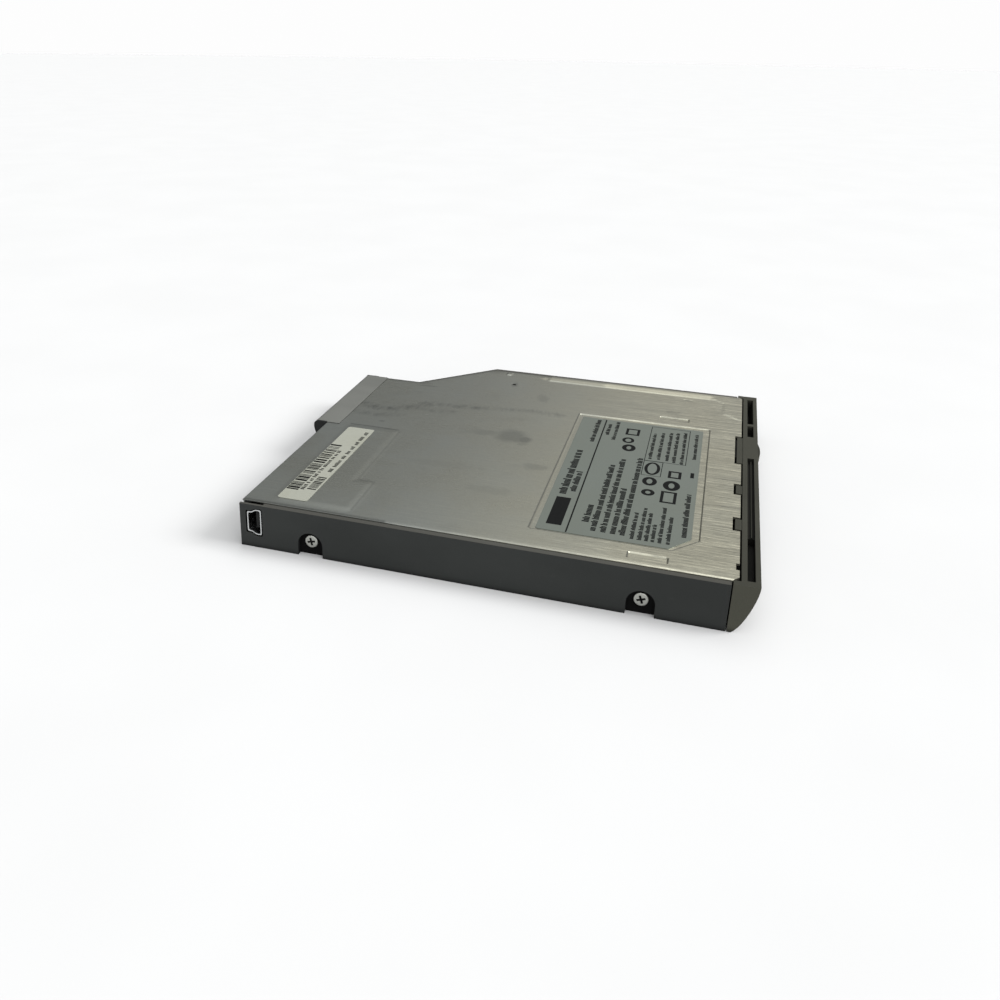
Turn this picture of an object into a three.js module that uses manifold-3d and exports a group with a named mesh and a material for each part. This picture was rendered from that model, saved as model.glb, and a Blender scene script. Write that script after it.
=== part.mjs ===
import * as THREE from "three";
import { mergeVertices } from "three/addons/utils/BufferGeometryUtils.js";
import Module from "manifold-3d";

// A floppy disk drive module for a laptop's media bay: a steel cover and a steel base plate
// close a plastic carrier, a bezel with a hinged disk door stands in front of it, and inside
// lies a slim disk mechanism. All lengths are in millimetres. X runs across the module from
// the outer face of the left rail, Y from the seam behind the bezel to the rear, Z up.

// Clearances
const runGap = 0.3;
const fitGap = 0.1;
const boreGap = 0.12;
const cutOver = 1;

// Disk mechanism and the room round it, which give the module its outline
const mechanismWidth = 96;
const mechanismLength = 104.7;
const spareWidth = 25.5;
const boardRoom = 18.5;
const cornerShoulder = 5.6;
const cornerReach = 38.3;
const cornerSetback = 15.7;
const coverTop = 12.7;

// Carrier frame
const railWall = 1.7;
const railTop = 12.3;
const railFoot = 3.2;
const railStep = 9.5;
const rearWall = 1.6;
const partitionWall = 1.6;
const frontWall = 1.4;
const ribWall = 1.2;
const ribShares = [0.25, 0.52];
const boardLedge = 1.6;
const bossRadius = 2.2;
const bossInset = 1.9;
const notchRadius = 3.4;
const notchArch = 3.3;
const notchDepth = 1.5;

// Screws
const screwHeight = 4;
const screwFront = 19.45;
const screwRearSetback = 1.3;
const screwHeadRadius = 1.8;
const screwHeadHeight = 0.75;
const screwShankRadius = 0.9;
const screwReach = 2.3;
const crossLength = 2;
const crossWidth = 0.5;
const crossDepth = 0.45;
const crossFloor = 0.07;
const baseScrewReach = 1.5;
const baseHeadHeight = 0.35;

// Base plate
const plateInset = 1.9;
const plateThick = 0.5;
const padRadius = 17;
const padDrop = 0.25;

// Steel cover
const coverSheet = 0.5;
const coverRight = 2.4;
const coverCorner = 1.2;
const coverFront = 1.55;
const coverFlange = 2.9;
const coverChamfer = 1.3;
const coverNotchShares = [
  [0.209, 0.264],
  [0.375, 0.426],
];
const notchSide = 0.5;
const notchRear = 0.3;
const bossNotchLeft = 4.8;
const bossNotchRight = 0.8;
const nibbleStart = 6.6;
const nibbleWidth = 3;
const nibbleDepth = 0.8;
const slotGapLength = 6.4;
const slotGapWidth = 1.1;
const slotGapDepth = 0.7;
const stampDepth = 0.3;
const frameLeft = 11;
const frameRightInset = 6.4;
const frameFront = 7.9;
const frameLength = 40.7;
const frameChamferX = 7;
const frameChamferY = 6.3;
const barWidth = 3;
const barFront = 14.6;
const barLength = 9.2;
const nearBar = 4.1;
const farBarInset = 2.8;
const borderRise = 0.2;
const borderWidth = 5.1;
const borderLength = 60;
const borderFront = 4.4;
const borderTurn = 2.6;
const borderReturn = 12.2;
const padRise = 0.12;
const padLeft = 4.8;
const padSetback = 23.8;
const padJogX = 22;
const padJog = 5.1;
const padDepth = 15.7;
const gaugeHoleInset = 15.4;
const gaugeHoleSetback = 10.05;
const gaugeHoleRadius = 0.7;

// Labels
const labelThick = 0.12;
const labelMarginLeft = 0.7;
const labelMarginRight = 1.9;
const labelMarginFront = 1.9;
const labelMarginRear = 1.2;
const labelChamferX = 6.4;
const labelChamferY = 5.1;
const stripMarginLeft = 0.6;
const stripMarginRight = 1.8;
const stripLength = 8.5;

// Front bezel
const bezelDepth = 6.3;
const seamGap = 0.3;
const bezelFoot = 1.2;
const bezelBelly = 9.6;
const bezelToeY = 3.6;
const bezelToeZ = 1.6;
const frontSkin = 1.2;
const channelRear = 3.3;
const flangeRear = 2;
const endCap = 2.3;
const farCap = 3.2;
const shelfDrop = 2.6;
const pocketDrop = 2.9;
const channelDrop = 1.3;
const deepDrop = 4.4;
const ridgeWidth = 0.35;
const ridgeRise = 0.5;
const pocketEnd = 25.4;
const bossInsetRight = 8.4;
const bossWidth = 17;
const ribInset = 0.9;
const ribWidth = 1.8;
const lugDrop = 0.15;
const lugGap = 0.6;

// Disk passage
const discRest = 2.9;
const holderLift = 1.6;
const passageHeight = 4.15;
const discSetback = 13.5;
const sheet = 0.4;

// Chassis
const chassisFront = 1;
const chassisSheet = 0.5;
const chassisWall = 0.6;
const chassisTop = 9.2;

// Disk door
const doorThick = 0.6;
const doorBack = 2.5;
const doorSide = 5.5;
const doorBarrelRadius = 0.45;
const doorPinRadius = 0.4;
const doorPinLength = 0.9;
const slotMargin = 0.1;

// Eject button and slide plate
const slideTravel = 5;
const buttonMarginLeft = 1.4;
const buttonMarginRight = 2;
const buttonHeight = 1.95;
const buttonProud = 0.8;
const buttonTail = 2.5;
const stemInset = 2;
const stemThick = 0.55;
const stemRear = 12;
const slideFront = 8;
const slideBridge = 32;
const slideSetback = 16.7;
const slideArm = 11.9;
const slideFoot = 3.6;
const slideFlangeFront = 24;
const guidePinRadius = 0.6;
const guidePinFront = 30;
const guidePinSetback = 24.7;

// Disk holder
const holderFront = 4;
const holderSetback = 12.7;
const holderLip = 4;
const windowLeft = 8.2;
const windowRight = 9.8;
const windowLength = 32;
const stopWidth = 8;
const stopInset = 1;

// Shutter lever
const leverSpacing = 16;
const leverSetback = 4;
const leverLength = 13;
const leverRest = 240;
const leverSwing = 77;
const leverThick = 0.6;
const leverHub = 2.2;
const leverTip = 1.1;
const leverPin = 0.6;
const leverPinDrop = 1.7;
const leverPost = 0.9;

// Spindle motor
const spindleOffset = 0.8;
const spindleSetback = 59;
const boardWide = 44;
const boardAhead = 21.7;
const boardBehind = 13.7;
const boardThin = 0.3;
const statorRadius = 11.2;
const statorTop = 2.15;
const statorTeeth = 9;
const statorSlot = 1.2;
const statorCore = 5.5;
const rotorRadius = 14;
const rotorTop = 2.7;
const rotorSkin = 0.3;
const magnetInner = 11.7;
const rotorFloor = 1.6;
const hubRadius = 11;
const hubTop = 3.1;
const shaftRadius = 1.5;
const shaftTop = 4.2;
const bearingRadius = 3.4;
const bearingTop = 2.2;
const drivePinRadius = 0.9;
const drivePinOrbit = 8.5;

// Head carriage
const headTravel = 14.8;
const headSetback = 19.5;
const headWidth = 3.2;
const headLength = 5;
const headTop = 4.3;
const carriageLeftReach = 5.2;
const carriageRightReach = 8.8;
const carriageNose = 9.2;
const carriageTail = 24.8;
const carriageBottom = 1.3;
const carriageThick = 1.2;
const riserDepth = 3.5;
const riserWidth = 10;
const riserTop = 8.35;
const earTop = 10.3;
const earWall = 1.4;
const sleeveRadius = 1.35;
const guideRodOffset = 7.1;
const guideRodRadius = 0.8;
const guideRodHeight = 2.15;
const rodMargin = 0.6;
const rodTail = 1.6;
const clipWall = 0.8;
const clipHalf = 1.3;
const needleWidth = 0.5;
const needleHeight = 0.9;

// Upper head arm
const armPivotSetback = 1.8;
const armPivotZ = 9.4;
const armThick = 0.8;
const armRise = 0.5;
const armHub = 0.9;
const armPin = 0.5;
const armTip = 3;
const armTipWidth = 5;
const upperHeadHeight = 1.1;

// Stepper motor and lead screw
const stepperOffset = 15.2;
const stepperSetback = 1.2;
const stepperLength = 9.2;
const stepperZ = 5.05;
const stepperRadius = 4;
const screwAxleRadius = 0.8;
const threadRadius = 1.1;
const threadPitch = 3;
const threadWire = 0.28;
const bracketWall = 0.5;
const bracketHalf = 3;
const bracketTop = 7;

// Controller board and its parts
const boardBottom = 1.5;
const boardThick = 0.8;
const boardSetback = 1.5;
const wellLeftReach = 10;
const wellRightReach = 3;
const wellDepth = 3;
const wellGap = 0.5;
const motorTongue = 6;
const chipInset = 22.8;
const chipSide = 10.5;
const chipMargin = 1;
const chipHeight = 1.3;
const crystalInset = 8.8;
const crystalWidth = 3.4;
const crystalLength = 8;
const crystalHeight = 2.6;
const canRadius = 2.4;
const canHeight = 5.4;
const canX = 14;
const canMargin = 6.8;
const switchSide = 4;
const switchTop = 2.5;
const switchInsetX = 8.6;
const switchFront = 4;
const plungerRadius = 0.7;
const plungerTop = 3.7;
const plungerTravel = 0.9;
const sensorSpacing = 2.6;
const sensorSide = 3.2;
const sensorGap = 0.2;
const sensorSetback = 4.7;
const sensorTop = 4.4;

// Ribbon between the spindle board and the controller board
const ribbonWidth = 8;
const ribbonThick = 0.2;
const ribbonLanding = 3.4;
const ribbonRamp = 1.4;

// Slide spring
const springInset = 5.9;
const springFront = 24;
const springLength = 22;
const springRadius = 0.45;
const springWire = 0.16;
const springHeight = 1.75;
const springTurns = 11;
const springPost = 0.5;

// Mini socket on the left side
const socketSetback = 6;
const socketThick = 4;
const socketTall = 7.3;
const socketShort = 5.8;
const socketMiddle = 7.3;
const socketKneeShare = 0.42;
const socketWaistShare = 0.66;
const socketDepth = 8.4;
const socketShell = 0.32;
const socketInset = 0.15;
const socketCorner = 0.45;
const socketGap = 0.35;
const socketBack = 2;
const tongueThick = 0.9;
const tongueTall = 4.6;
const tongueReach = 1.4;
const legWidth = 0.8;

// Bay connector at the rear
const connectorWidth = 46.1;
const connectorSetback = 4.3;
const connectorProud = 3.8;
const connectorBottom = 2.5;
const connectorTop = 12.1;
const cheekWall = 0.9;
const mouthMarginLeft = 3.3;
const mouthMarginRight = 5.2;
const mouthBottom = 4.5;
const mouthTop = 9.3;
const mouthSetback = 1.2;
const contactThick = 0.18;
const contactCount = 24;
const contactFillShare = 0.55;
const contactSpine = 0.5;

// Hood over the bay connector
const hoodOverlap = 0.5;
const hoodSetback = 4.2;
const hoodProud = 0.6;
const hoodRise = 0.2;
const hoodRound = 1.6;
const hoodSkin = 0.5;
const hoodDrop = 2.9;
const capThick = 0.4;
const capTuck = 1.2;
const capFoot = 7.5;

// Activity light
const lightSpacing = 1.3;
const lightWidth = 3.2;
const lightBottom = 6.4;
const lightHeight = 1.5;
const lightRear = 3.4;
const lampLength = 2;

// Places across the module, worked out from the driving sizes
const mechanismLeft = railFoot;
const mechanismRight = mechanismLeft + mechanismWidth;
const mechanismMiddle = mechanismLeft + mechanismWidth / 2;
const partitionRight = mechanismRight + partitionWall;
const rightInner = partitionRight + spareWidth;
const moduleWidth = rightInner + railWall;
const rearWidth = mechanismRight + cornerShoulder;
const frameRight = mechanismRight - frameRightInset;
const farBar = mechanismRight - farBarInset;
const borderInner = moduleWidth - coverRight - borderWidth;
const gaugeHoleX = moduleWidth - gaugeHoleInset;
const bossRight = mechanismRight - bossInsetRight;
const bossLeft = bossRight - bossWidth;
const buttonLeft = bossLeft + buttonMarginLeft;
const buttonRight = bossRight - buttonMarginRight;
const ribLeft = mechanismRight + ribInset;
const ribRight = ribLeft + ribWidth;
const lightLeft = ribRight + lightSpacing;
const doorRight = mechanismLeft + mechanismRight - doorSide;
const slideLeft = mechanismLeft + chassisWall + runGap;
const slideRight = mechanismRight - chassisWall - runGap;
const holderLeft = slideLeft + chassisSheet + runGap;
const holderRight = slideRight - chassisSheet - runGap;
const leverX = slideLeft + slideArm + leverSpacing;
const springX = slideRight - springInset;
const spindleX = mechanismMiddle + spindleOffset;
const carriageLeft = mechanismMiddle - carriageLeftReach;
const carriageRight = mechanismMiddle + carriageRightReach;
const riserRight = carriageLeft + riserWidth;
const guideRodX = mechanismMiddle + guideRodOffset;
const stepperX = mechanismMiddle - stepperOffset;
const wellLeft = stepperX - wellLeftReach;
const wellRight = carriageRight + wellRightReach;
const sensorLeft = carriageRight + sensorSpacing;
const ribbonLeft = sensorLeft + sensorSide + sensorGap;
const connectorLeft = rearWidth - connectorWidth;
const mouthLeft = connectorLeft + mouthMarginLeft;
const mouthRight = rearWidth - mouthMarginRight;
const hoodLeft = connectorLeft - hoodOverlap;
const padRight = hoodLeft + fitGap * 2;

// Places along the module
const bodyLength = mechanismLength + boardRoom;
const cornerStart = bodyLength - cornerReach;
const cornerEnd = bodyLength - cornerSetback;
const frameBack = bodyLength - coverSheet - fitGap;
const rearInner = frameBack - rearWall;
const screwRear = mechanismLength - screwRearSetback;
const gaugeHoleY = cornerStart - gaugeHoleSetback;
const padFront = bodyLength - padSetback;
const padRear = padFront + padDepth;
const discDepth = mechanismLength - discSetback;
const holderRear = mechanismLength - holderSetback;
const slideRear = mechanismLength - slideSetback;
const guidePinRear = mechanismLength - guidePinSetback;
const leverY = holderRear - leverSetback;
const spindleY = mechanismLength - spindleSetback;
const headY = mechanismLength - headSetback;
const carriageFront = headY - carriageNose;
const carriageRear = headY + carriageTail;
const riserFront = carriageRear - riserDepth;
const armPivotY = carriageRear - armPivotSetback;
const rodFront = carriageFront - headTravel - rodMargin - clipWall;
const rodRear = carriageRear + rodTail + clipWall;
const needleFront = riserFront + needleWidth;
const stepperFront = carriageRear - stepperSetback;
const stepperRear = stepperFront + stepperLength;
const bracketFront = needleFront - headTravel - bracketWall - fitGap * 2;
const boardEdge = mechanismLength + boardSetback;
const wellRear = carriageRear + wellDepth;
const chipFront = boardEdge + chipMargin;
const sensorFront = mechanismLength - sensorSetback;
const socketFront = bodyLength - socketSetback;
const socketRear = socketFront + socketThick;
const connectorFront = bodyLength - connectorSetback;
const connectorRear = bodyLength + connectorProud;
const mouthFloor = bodyLength - mouthSetback;
const hoodFront = bodyLength - hoodSetback;
const hoodRear = connectorRear + hoodProud;
const capFront = bodyLength + fitGap * 2;

// Heights
const sheetBottom = coverTop - coverSheet;
const hoodTop = coverTop + hoodRise;
const floorTop = plateThick + chassisSheet;
const discUp = discRest + holderLift;
const passageTop = discUp + passageHeight;
const holderTop = passageTop + sheet;
const slideBottom = holderTop + runGap / 2;
const slideTop = slideBottom + chassisSheet;
const doorPivotY = -doorBack - doorThick / 2;
const doorPivotZ = passageTop + doorThick / 2 + slotMargin / 2;
const slotBottom = discUp - slotMargin;
const slotTop = passageTop + slotMargin;
const doorCeiling = doorPivotZ + doorBarrelRadius + fitGap;
const buttonBottom = doorCeiling + runGap + fitGap * 2;
const buttonTop = buttonBottom + buttonHeight;
const boardTop = boardBottom + boardThick;
const guidePinZ = (discUp + passageTop) / 2;
const spindleBoardTop = floorTop + boardThin;
const carriageTop = carriageBottom + carriageThick;

// Colours, roughness and metalness of the materials
const finishes = {
  railPlastic: [0x383a38, 0.55, 0],
  bezelPlastic: [0x474843, 0.5, 0],
  brushedSteel: [0x9a9a92, 0.38, 0.9],
  plateSteel: [0x8d8f8c, 0.4, 0.9],
  springSteel: [0xb4b6b6, 0.3, 1],
  hoodPlastic: [0x80817b, 0.5, 0.1],
  blackPlastic: [0x1b1c1c, 0.6, 0],
  ivoryPlastic: [0xcfc9b4, 0.5, 0],
  silverLabel: [0x8f9492, 0.45, 0.3],
  paperLabel: [0xc4c5ba, 0.8, 0],
  boardGreen: [0x1f5a34, 0.5, 0],
  copperWire: [0xa0612c, 0.4, 0.8],
  goldContact: [0xc9a24a, 0.3, 1],
  clearLens: [0x7fae6a, 0.2, 0],
  ribbonFilm: [0xa8762c, 0.4, 0],
  ceramic: [0xdedcd2, 0.3, 0],
  rotorSteel: [0xa6a8a8, 0.3, 1],
};

// Solids from three.js geometry
const wasm = await Module();
wasm.setup();

function solidOf(geometry) {
  geometry.deleteAttribute("normal");
  geometry.deleteAttribute("uv");
  const merged = mergeVertices(geometry);
  const vertProperties = merged.getAttribute("position").array;
  const triVerts = new Uint32Array(merged.getIndex().array);
  return new wasm.Manifold(new wasm.Mesh({ numProp: 3, vertProperties, triVerts }));
}

// Moves every vertex of a geometry by a function of its place
function mapped(geometry, place) {
  const at = geometry.getAttribute("position");
  for (let i = 0; i < at.count; i++) {
    at.setXYZ(i, ...place(at.getX(i), at.getY(i), at.getZ(i)));
  }
  return solidOf(geometry);
}

// A block between two places on each axis
function block([x0, x1], [y0, y1], [z0, z1]) {
  const side = (v, low, high) => (v > 0 ? high : low);
  return mapped(new THREE.BoxGeometry(1, 1, 1), (x, y, z) => [
    side(x, x0, x1),
    side(y, y0, y1),
    side(z, z0, z1),
  ]);
}

function shapeOf(outline) {
  if (outline instanceof THREE.Shape) return outline;
  return new THREE.Shape(outline.map(([u, v]) => new THREE.Vector2(u, v)));
}

function extruded(outline, place) {
  const options = { depth: 1, bevelEnabled: false, curveSegments: 12 };
  const geometry = new THREE.ExtrudeGeometry(shapeOf(outline), options);
  return mapped(geometry, place);
}

// An outline in X and Y, between two heights
function slab(outline, [z0, z1]) {
  return extruded(outline, (u, v, w) => [u, v, z0 + (z1 - z0) * w]);
}

// An outline in Y and Z, between two places on X
function beam(outline, [x0, x1]) {
  return extruded(outline, (u, v, w) => [x0 + (x1 - x0) * w, u, v]);
}

// A round bar along one axis: the centre gives its two other coordinates in X, Y, Z order
function bar(axis, [a, b], radius, [from, to], sides = 20) {
  const places = {
    x: (x, y, z) => [from + (to - from) * (y + 0.5), a - x, b + z],
    y: (x, y, z) => [a + x, from + (to - from) * (y + 0.5), b + z],
    z: (x, y, z) => [a + x, b - z, from + (to - from) * (y + 0.5)],
  };
  return mapped(new THREE.CylinderGeometry(radius, radius, 1, sides), places[axis]);
}

// A wire along a helix about the Y direction
function helix([x, y, z], radius, wire, length, turns, stepsPerTurn) {
  class Helix extends THREE.Curve {
    getPoint(t, target = new THREE.Vector3()) {
      const angle = 2 * Math.PI * turns * t;
      return target.set(x + radius * Math.cos(angle), y + length * t, z + radius * Math.sin(angle));
    }
  }
  const section = shapeOf([
    [wire, 0],
    [0, wire],
    [-wire, 0],
    [0, -wire],
  ]);
  const options = { extrudePath: new Helix(), steps: turns * stepsPerTurn, bevelEnabled: false };
  return solidOf(new THREE.ExtrudeGeometry(section, options));
}

function joined(...solids) {
  return solids.reduce((whole, solid) => whole.add(solid));
}

function cut(solid, ...tools) {
  return tools.reduce((whole, tool) => whole.subtract(tool), solid);
}

// The module's outline drawn in by a distance on each side
function footprint({ left, right, corner, rear, front }) {
  const along = new THREE.Vector2(rearWidth - moduleWidth, cornerEnd - cornerStart).normalize();
  const outward = new THREE.Vector2(along.y, -along.x);
  const diagonal = (x) => cornerStart + (-corner - (x - moduleWidth) * outward.x) / outward.y;
  const rightX = moduleWidth - right;
  const rearX = rearWidth - corner;
  return [
    [left, front],
    [rightX, front],
    [rightX, diagonal(rightX)],
    [rearX, diagonal(rearX)],
    [rearX, bodyLength - rear],
    [left, bodyLength - rear],
  ];
}

function evenFootprint(inset, rear, front) {
  return footprint({ left: inset, right: inset, corner: inset, rear, front });
}

// Carrier frame: two rails, a rear wall and a spare bay beside the mechanism
function carrierFrame() {
  const wholeHeight = [-cutOver, coverTop + cutOver];
  const rear = bodyLength - frameBack;
  const inner = evenFootprint(railWall, bodyLength - rearInner, -cutOver);
  const upper = slab(inner, [railStep, coverTop + cutOver]);
  const mechanism = block([mechanismLeft, mechanismRight], [-cutOver, rearInner], wholeHeight);
  const spare = slab(
    footprint({
      left: partitionRight,
      right: railWall,
      corner: railWall,
      rear: bodyLength - rearInner,
      front: frontWall,
    }),
    wholeHeight,
  );
  const rearRoom = block(
    [mechanismRight - cutOver, rearWidth - railWall],
    [mechanismLength, rearInner],
    wholeHeight,
  );
  const seatOutline = evenFootprint(plateInset - fitGap, rear + rearWall - fitGap, -cutOver);
  const plateSeat = slab(seatOutline, [-cutOver, plateThick]);
  const connectorGap = block(
    [connectorLeft - fitGap, rearWidth - railWall],
    [rearInner - cutOver, frameBack + cutOver],
    [connectorBottom - fitGap, coverTop + cutOver],
  );
  const socketHole = beam(socketOutline(socketGap), [-cutOver, socketInset + socketDepth + socketGap]);
  const lightHole = block(
    [lightLeft - fitGap, lightLeft + lightWidth + fitGap],
    [-cutOver, frontWall + cutOver],
    [lightBottom - fitGap, lightBottom + lightHeight + fitGap],
  );
  const coverSeat = slab(
    footprint({
      left: plateInset - fitGap,
      right: coverRight - fitGap,
      corner: coverCorner - fitGap,
      rear: -cutOver,
      front: -cutOver,
    }),
    [sheetBottom, coverTop + cutOver],
  );
  let frame = slab(evenFootprint(0, rear, 0), [0, railTop]);
  frame = cut(frame, upper, mechanism, spare, rearRoom, plateSeat, coverSeat);
  frame = cut(frame, connectorGap, socketHole, lightHole);
  const tip = block([0, railWall], [frameBack - fitGap, bodyLength], [0, railTop]);
  const ledge = block(
    [railFoot - fitGap, rearWidth - railWall],
    [rearInner - boardLedge, rearInner],
    [plateThick, boardBottom],
  );
  const slotGap = block(
    [plateInset - slotGapWidth, plateInset],
    [bodyLength - slotGapLength, bodyLength + cutOver],
    [railTop - slotGapDepth, coverTop],
  );
  frame = joined(frame, tip, ledge).subtract(slotGap);
  for (const share of ribShares) {
    const y = share * bodyLength;
    const ribX = [partitionRight - fitGap, rightInner + fitGap];
    frame = frame.add(block(ribX, [y, y + ribWall], [plateThick, railStep]));
  }
  for (const [x, y] of spareBosses()) {
    frame = frame.add(bar("z", [x, y], bossRadius, [plateThick, railStep]));
    const hole = [-cutOver, plateThick + baseScrewReach + cutOver];
    frame = frame.subtract(bar("z", [x, y], screwShankRadius + fitGap, hole));
  }
  for (const y of [screwFront, screwRear]) {
    frame = cut(
      frame,
      beam(notchOutline(y), [-cutOver, notchDepth]),
      bar("x", [y, screwHeight], screwShankRadius + fitGap, [0, railFoot + cutOver]),
      bar("x", [y, screwHeight], screwShankRadius + fitGap, [
        mechanismRight - cutOver,
        partitionRight + cutOver,
      ]),
    );
  }
  return frame;
}

// Arched notch, open at the bottom, that a side screw's head stands in
function notchOutline(y) {
  const shape = new THREE.Shape();
  shape.moveTo(y - notchRadius, -cutOver);
  shape.lineTo(y + notchRadius, -cutOver);
  shape.lineTo(y + notchRadius, notchArch);
  shape.absarc(y, notchArch, notchRadius, 0, Math.PI, false);
  return shape;
}

function spareBosses() {
  const left = partitionRight + bossInset;
  const right = rightInner - bossInset;
  return [
    [right, frontWall + bossInset],
    [left, cornerStart - bossInset],
  ];
}

function chassisBosses() {
  return [
    [mechanismLeft + screwFront / 2, screwFront / 2],
    [mechanismLeft + screwFront / 2, mechanismLength - screwFront / 2],
  ];
}

// Base plate with a round dished pad under the spindle motor
function basePlate() {
  const rear = bodyLength - frameBack + rearWall;
  let plate = slab(evenFootprint(plateInset, rear, chassisFront), [0, plateThick]);
  plate = cut(plate, bar("z", [spindleX, spindleY], padRadius, [-cutOver, padDrop], 32));
  for (const [x, y] of [...spareBosses(), ...chassisBosses()]) {
    plate = cut(
      plate,
      bar("z", [x, y], screwHeadRadius + fitGap, [-cutOver, baseHeadHeight]),
      bar("z", [x, y], screwShankRadius + fitGap, [0, plateThick + cutOver]),
    );
  }
  return plate;
}

// Where the cover's front edge is notched for the bezel's lugs
function coverNotches() {
  const notches = coverNotchShares.map(([from, to]) => [from * moduleWidth, to * moduleWidth]);
  return [...notches, [bossLeft - bossNotchLeft, bossRight - bossNotchRight]];
}

// Cover outline: notched front edge, cut corners, the rear edge folded down behind the carrier
function coverOutline() {
  const right = moduleWidth - coverRight;
  const edges = { left: 0, right: coverRight, corner: coverCorner, rear: 0, front: 0 };
  const [, , bend, rearBend] = footprint(edges);
  const points = [
    [plateInset, coverChamfer - coverFront],
    [plateInset + coverChamfer, -coverFront],
    [nibbleStart, -coverFront],
    [nibbleStart, nibbleDepth - coverFront],
    [nibbleStart + nibbleWidth, nibbleDepth - coverFront],
    [nibbleStart + nibbleWidth, -coverFront],
  ];
  for (const [from, to] of coverNotches()) {
    const near = from - notchSide;
    points.push([near, -coverFront], [near, notchRear], [to, notchRear], [to, -coverFront]);
  }
  points.push([right - coverChamfer, -coverFront], [right, coverChamfer - coverFront], bend, rearBend);
  points.push([rearBend[0], bodyLength], [plateInset, bodyLength]);
  return points;
}

function chamferedPanel(left, right, front, rear, chamferX, chamferY) {
  return [
    [left + chamferX, front],
    [right, front],
    [right, rear],
    [left, rear],
    [left, front + chamferY],
  ];
}

function labelFrame(inset) {
  const left = frameLeft + inset;
  const right = frameRight - inset;
  const rear = frameFront + frameLength - inset;
  return chamferedPanel(left, right, frameFront + inset, rear, frameChamferX, frameChamferY);
}

function topCover() {
  const right = moduleWidth - coverRight;
  const flangeZ = [coverTop - coverFlange, coverTop - coverSheet / 2];
  let cover = slab(coverOutline(), [sheetBottom, coverTop]);
  const borderTip = borderInner - borderReturn;
  const borderRear = borderFront + borderLength;
  const border = [
    [right - fitGap, borderRear],
    [borderInner, borderRear],
    [borderInner, borderFront + borderTurn],
    [borderInner - borderTurn, borderFront],
    [borderTip, borderFront],
    [borderTip, 0],
    [right - coverChamfer, 0],
    [right - fitGap, coverChamfer],
  ];
  const pad = [
    [padLeft, padFront - padJog],
    [padJogX, padFront - padJog],
    [padJogX, padFront],
    [padRight, padFront],
    [padRight, padRear],
    [padLeft, padRear],
  ];
  cover = joined(
    cover,
    slab(labelFrame(-coverSheet), [sheetBottom - stampDepth, sheetBottom]),
    slab([...border].reverse(), [sheetBottom, coverTop + borderRise]),
    slab(pad, [sheetBottom, coverTop + padRise]),
    block([plateInset, plateInset + coverSheet], [chassisFront, bodyLength - slotGapLength], flangeZ),
    block([right - coverSheet, right], [chassisFront, cornerStart - chassisFront], flangeZ),
    block([plateInset + coverSheet, hoodLeft - fitGap], [bodyLength - coverSheet, bodyLength], flangeZ),
  );
  for (const left of [nearBar, farBar]) {
    const barRear = barFront + barLength;
    const low = block(
      [left - coverSheet, left + barWidth + coverSheet],
      [barFront - coverSheet, barRear + coverSheet],
      [sheetBottom - stampDepth, sheetBottom],
    );
    cover = cover.add(low);
    const sunk = [coverTop - stampDepth, coverTop + cutOver];
    cover = cover.subtract(block([left, left + barWidth], [barFront, barRear], sunk));
  }
  return cut(
    cover,
    slab(labelFrame(0), [coverTop - stampDepth, coverTop + cutOver]),
    bar("z", [gaugeHoleX, gaugeHoleY], gaugeHoleRadius, [sheetBottom - cutOver, coverTop + cutOver], 12),
  );
}

function specLabel() {
  const outline = chamferedPanel(
    frameLeft + labelMarginLeft,
    frameRight - labelMarginRight,
    frameFront + labelMarginFront,
    frameFront + frameLength - labelMarginRear,
    labelChamferX,
    labelChamferY,
  );
  return slab(outline, [coverTop - stampDepth, coverTop - stampDepth + labelThick]);
}

function stripLabel() {
  const base = coverTop + padRise;
  const rear = padRear - fitGap;
  const x = [padLeft + stripMarginLeft, padRight - stripMarginRight];
  return block(x, [rear - stripLength, rear], [base, base + labelThick]);
}

// Curved front face of the bezel, from its foot to its top edge
function bezelCurve() {
  return new THREE.CubicBezierCurve(
    new THREE.Vector2(-bezelFoot, 0),
    new THREE.Vector2(-bezelToeY, bezelToeZ),
    new THREE.Vector2(-bezelDepth, bezelBelly),
    new THREE.Vector2(-bezelDepth, coverTop),
  );
}

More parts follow.
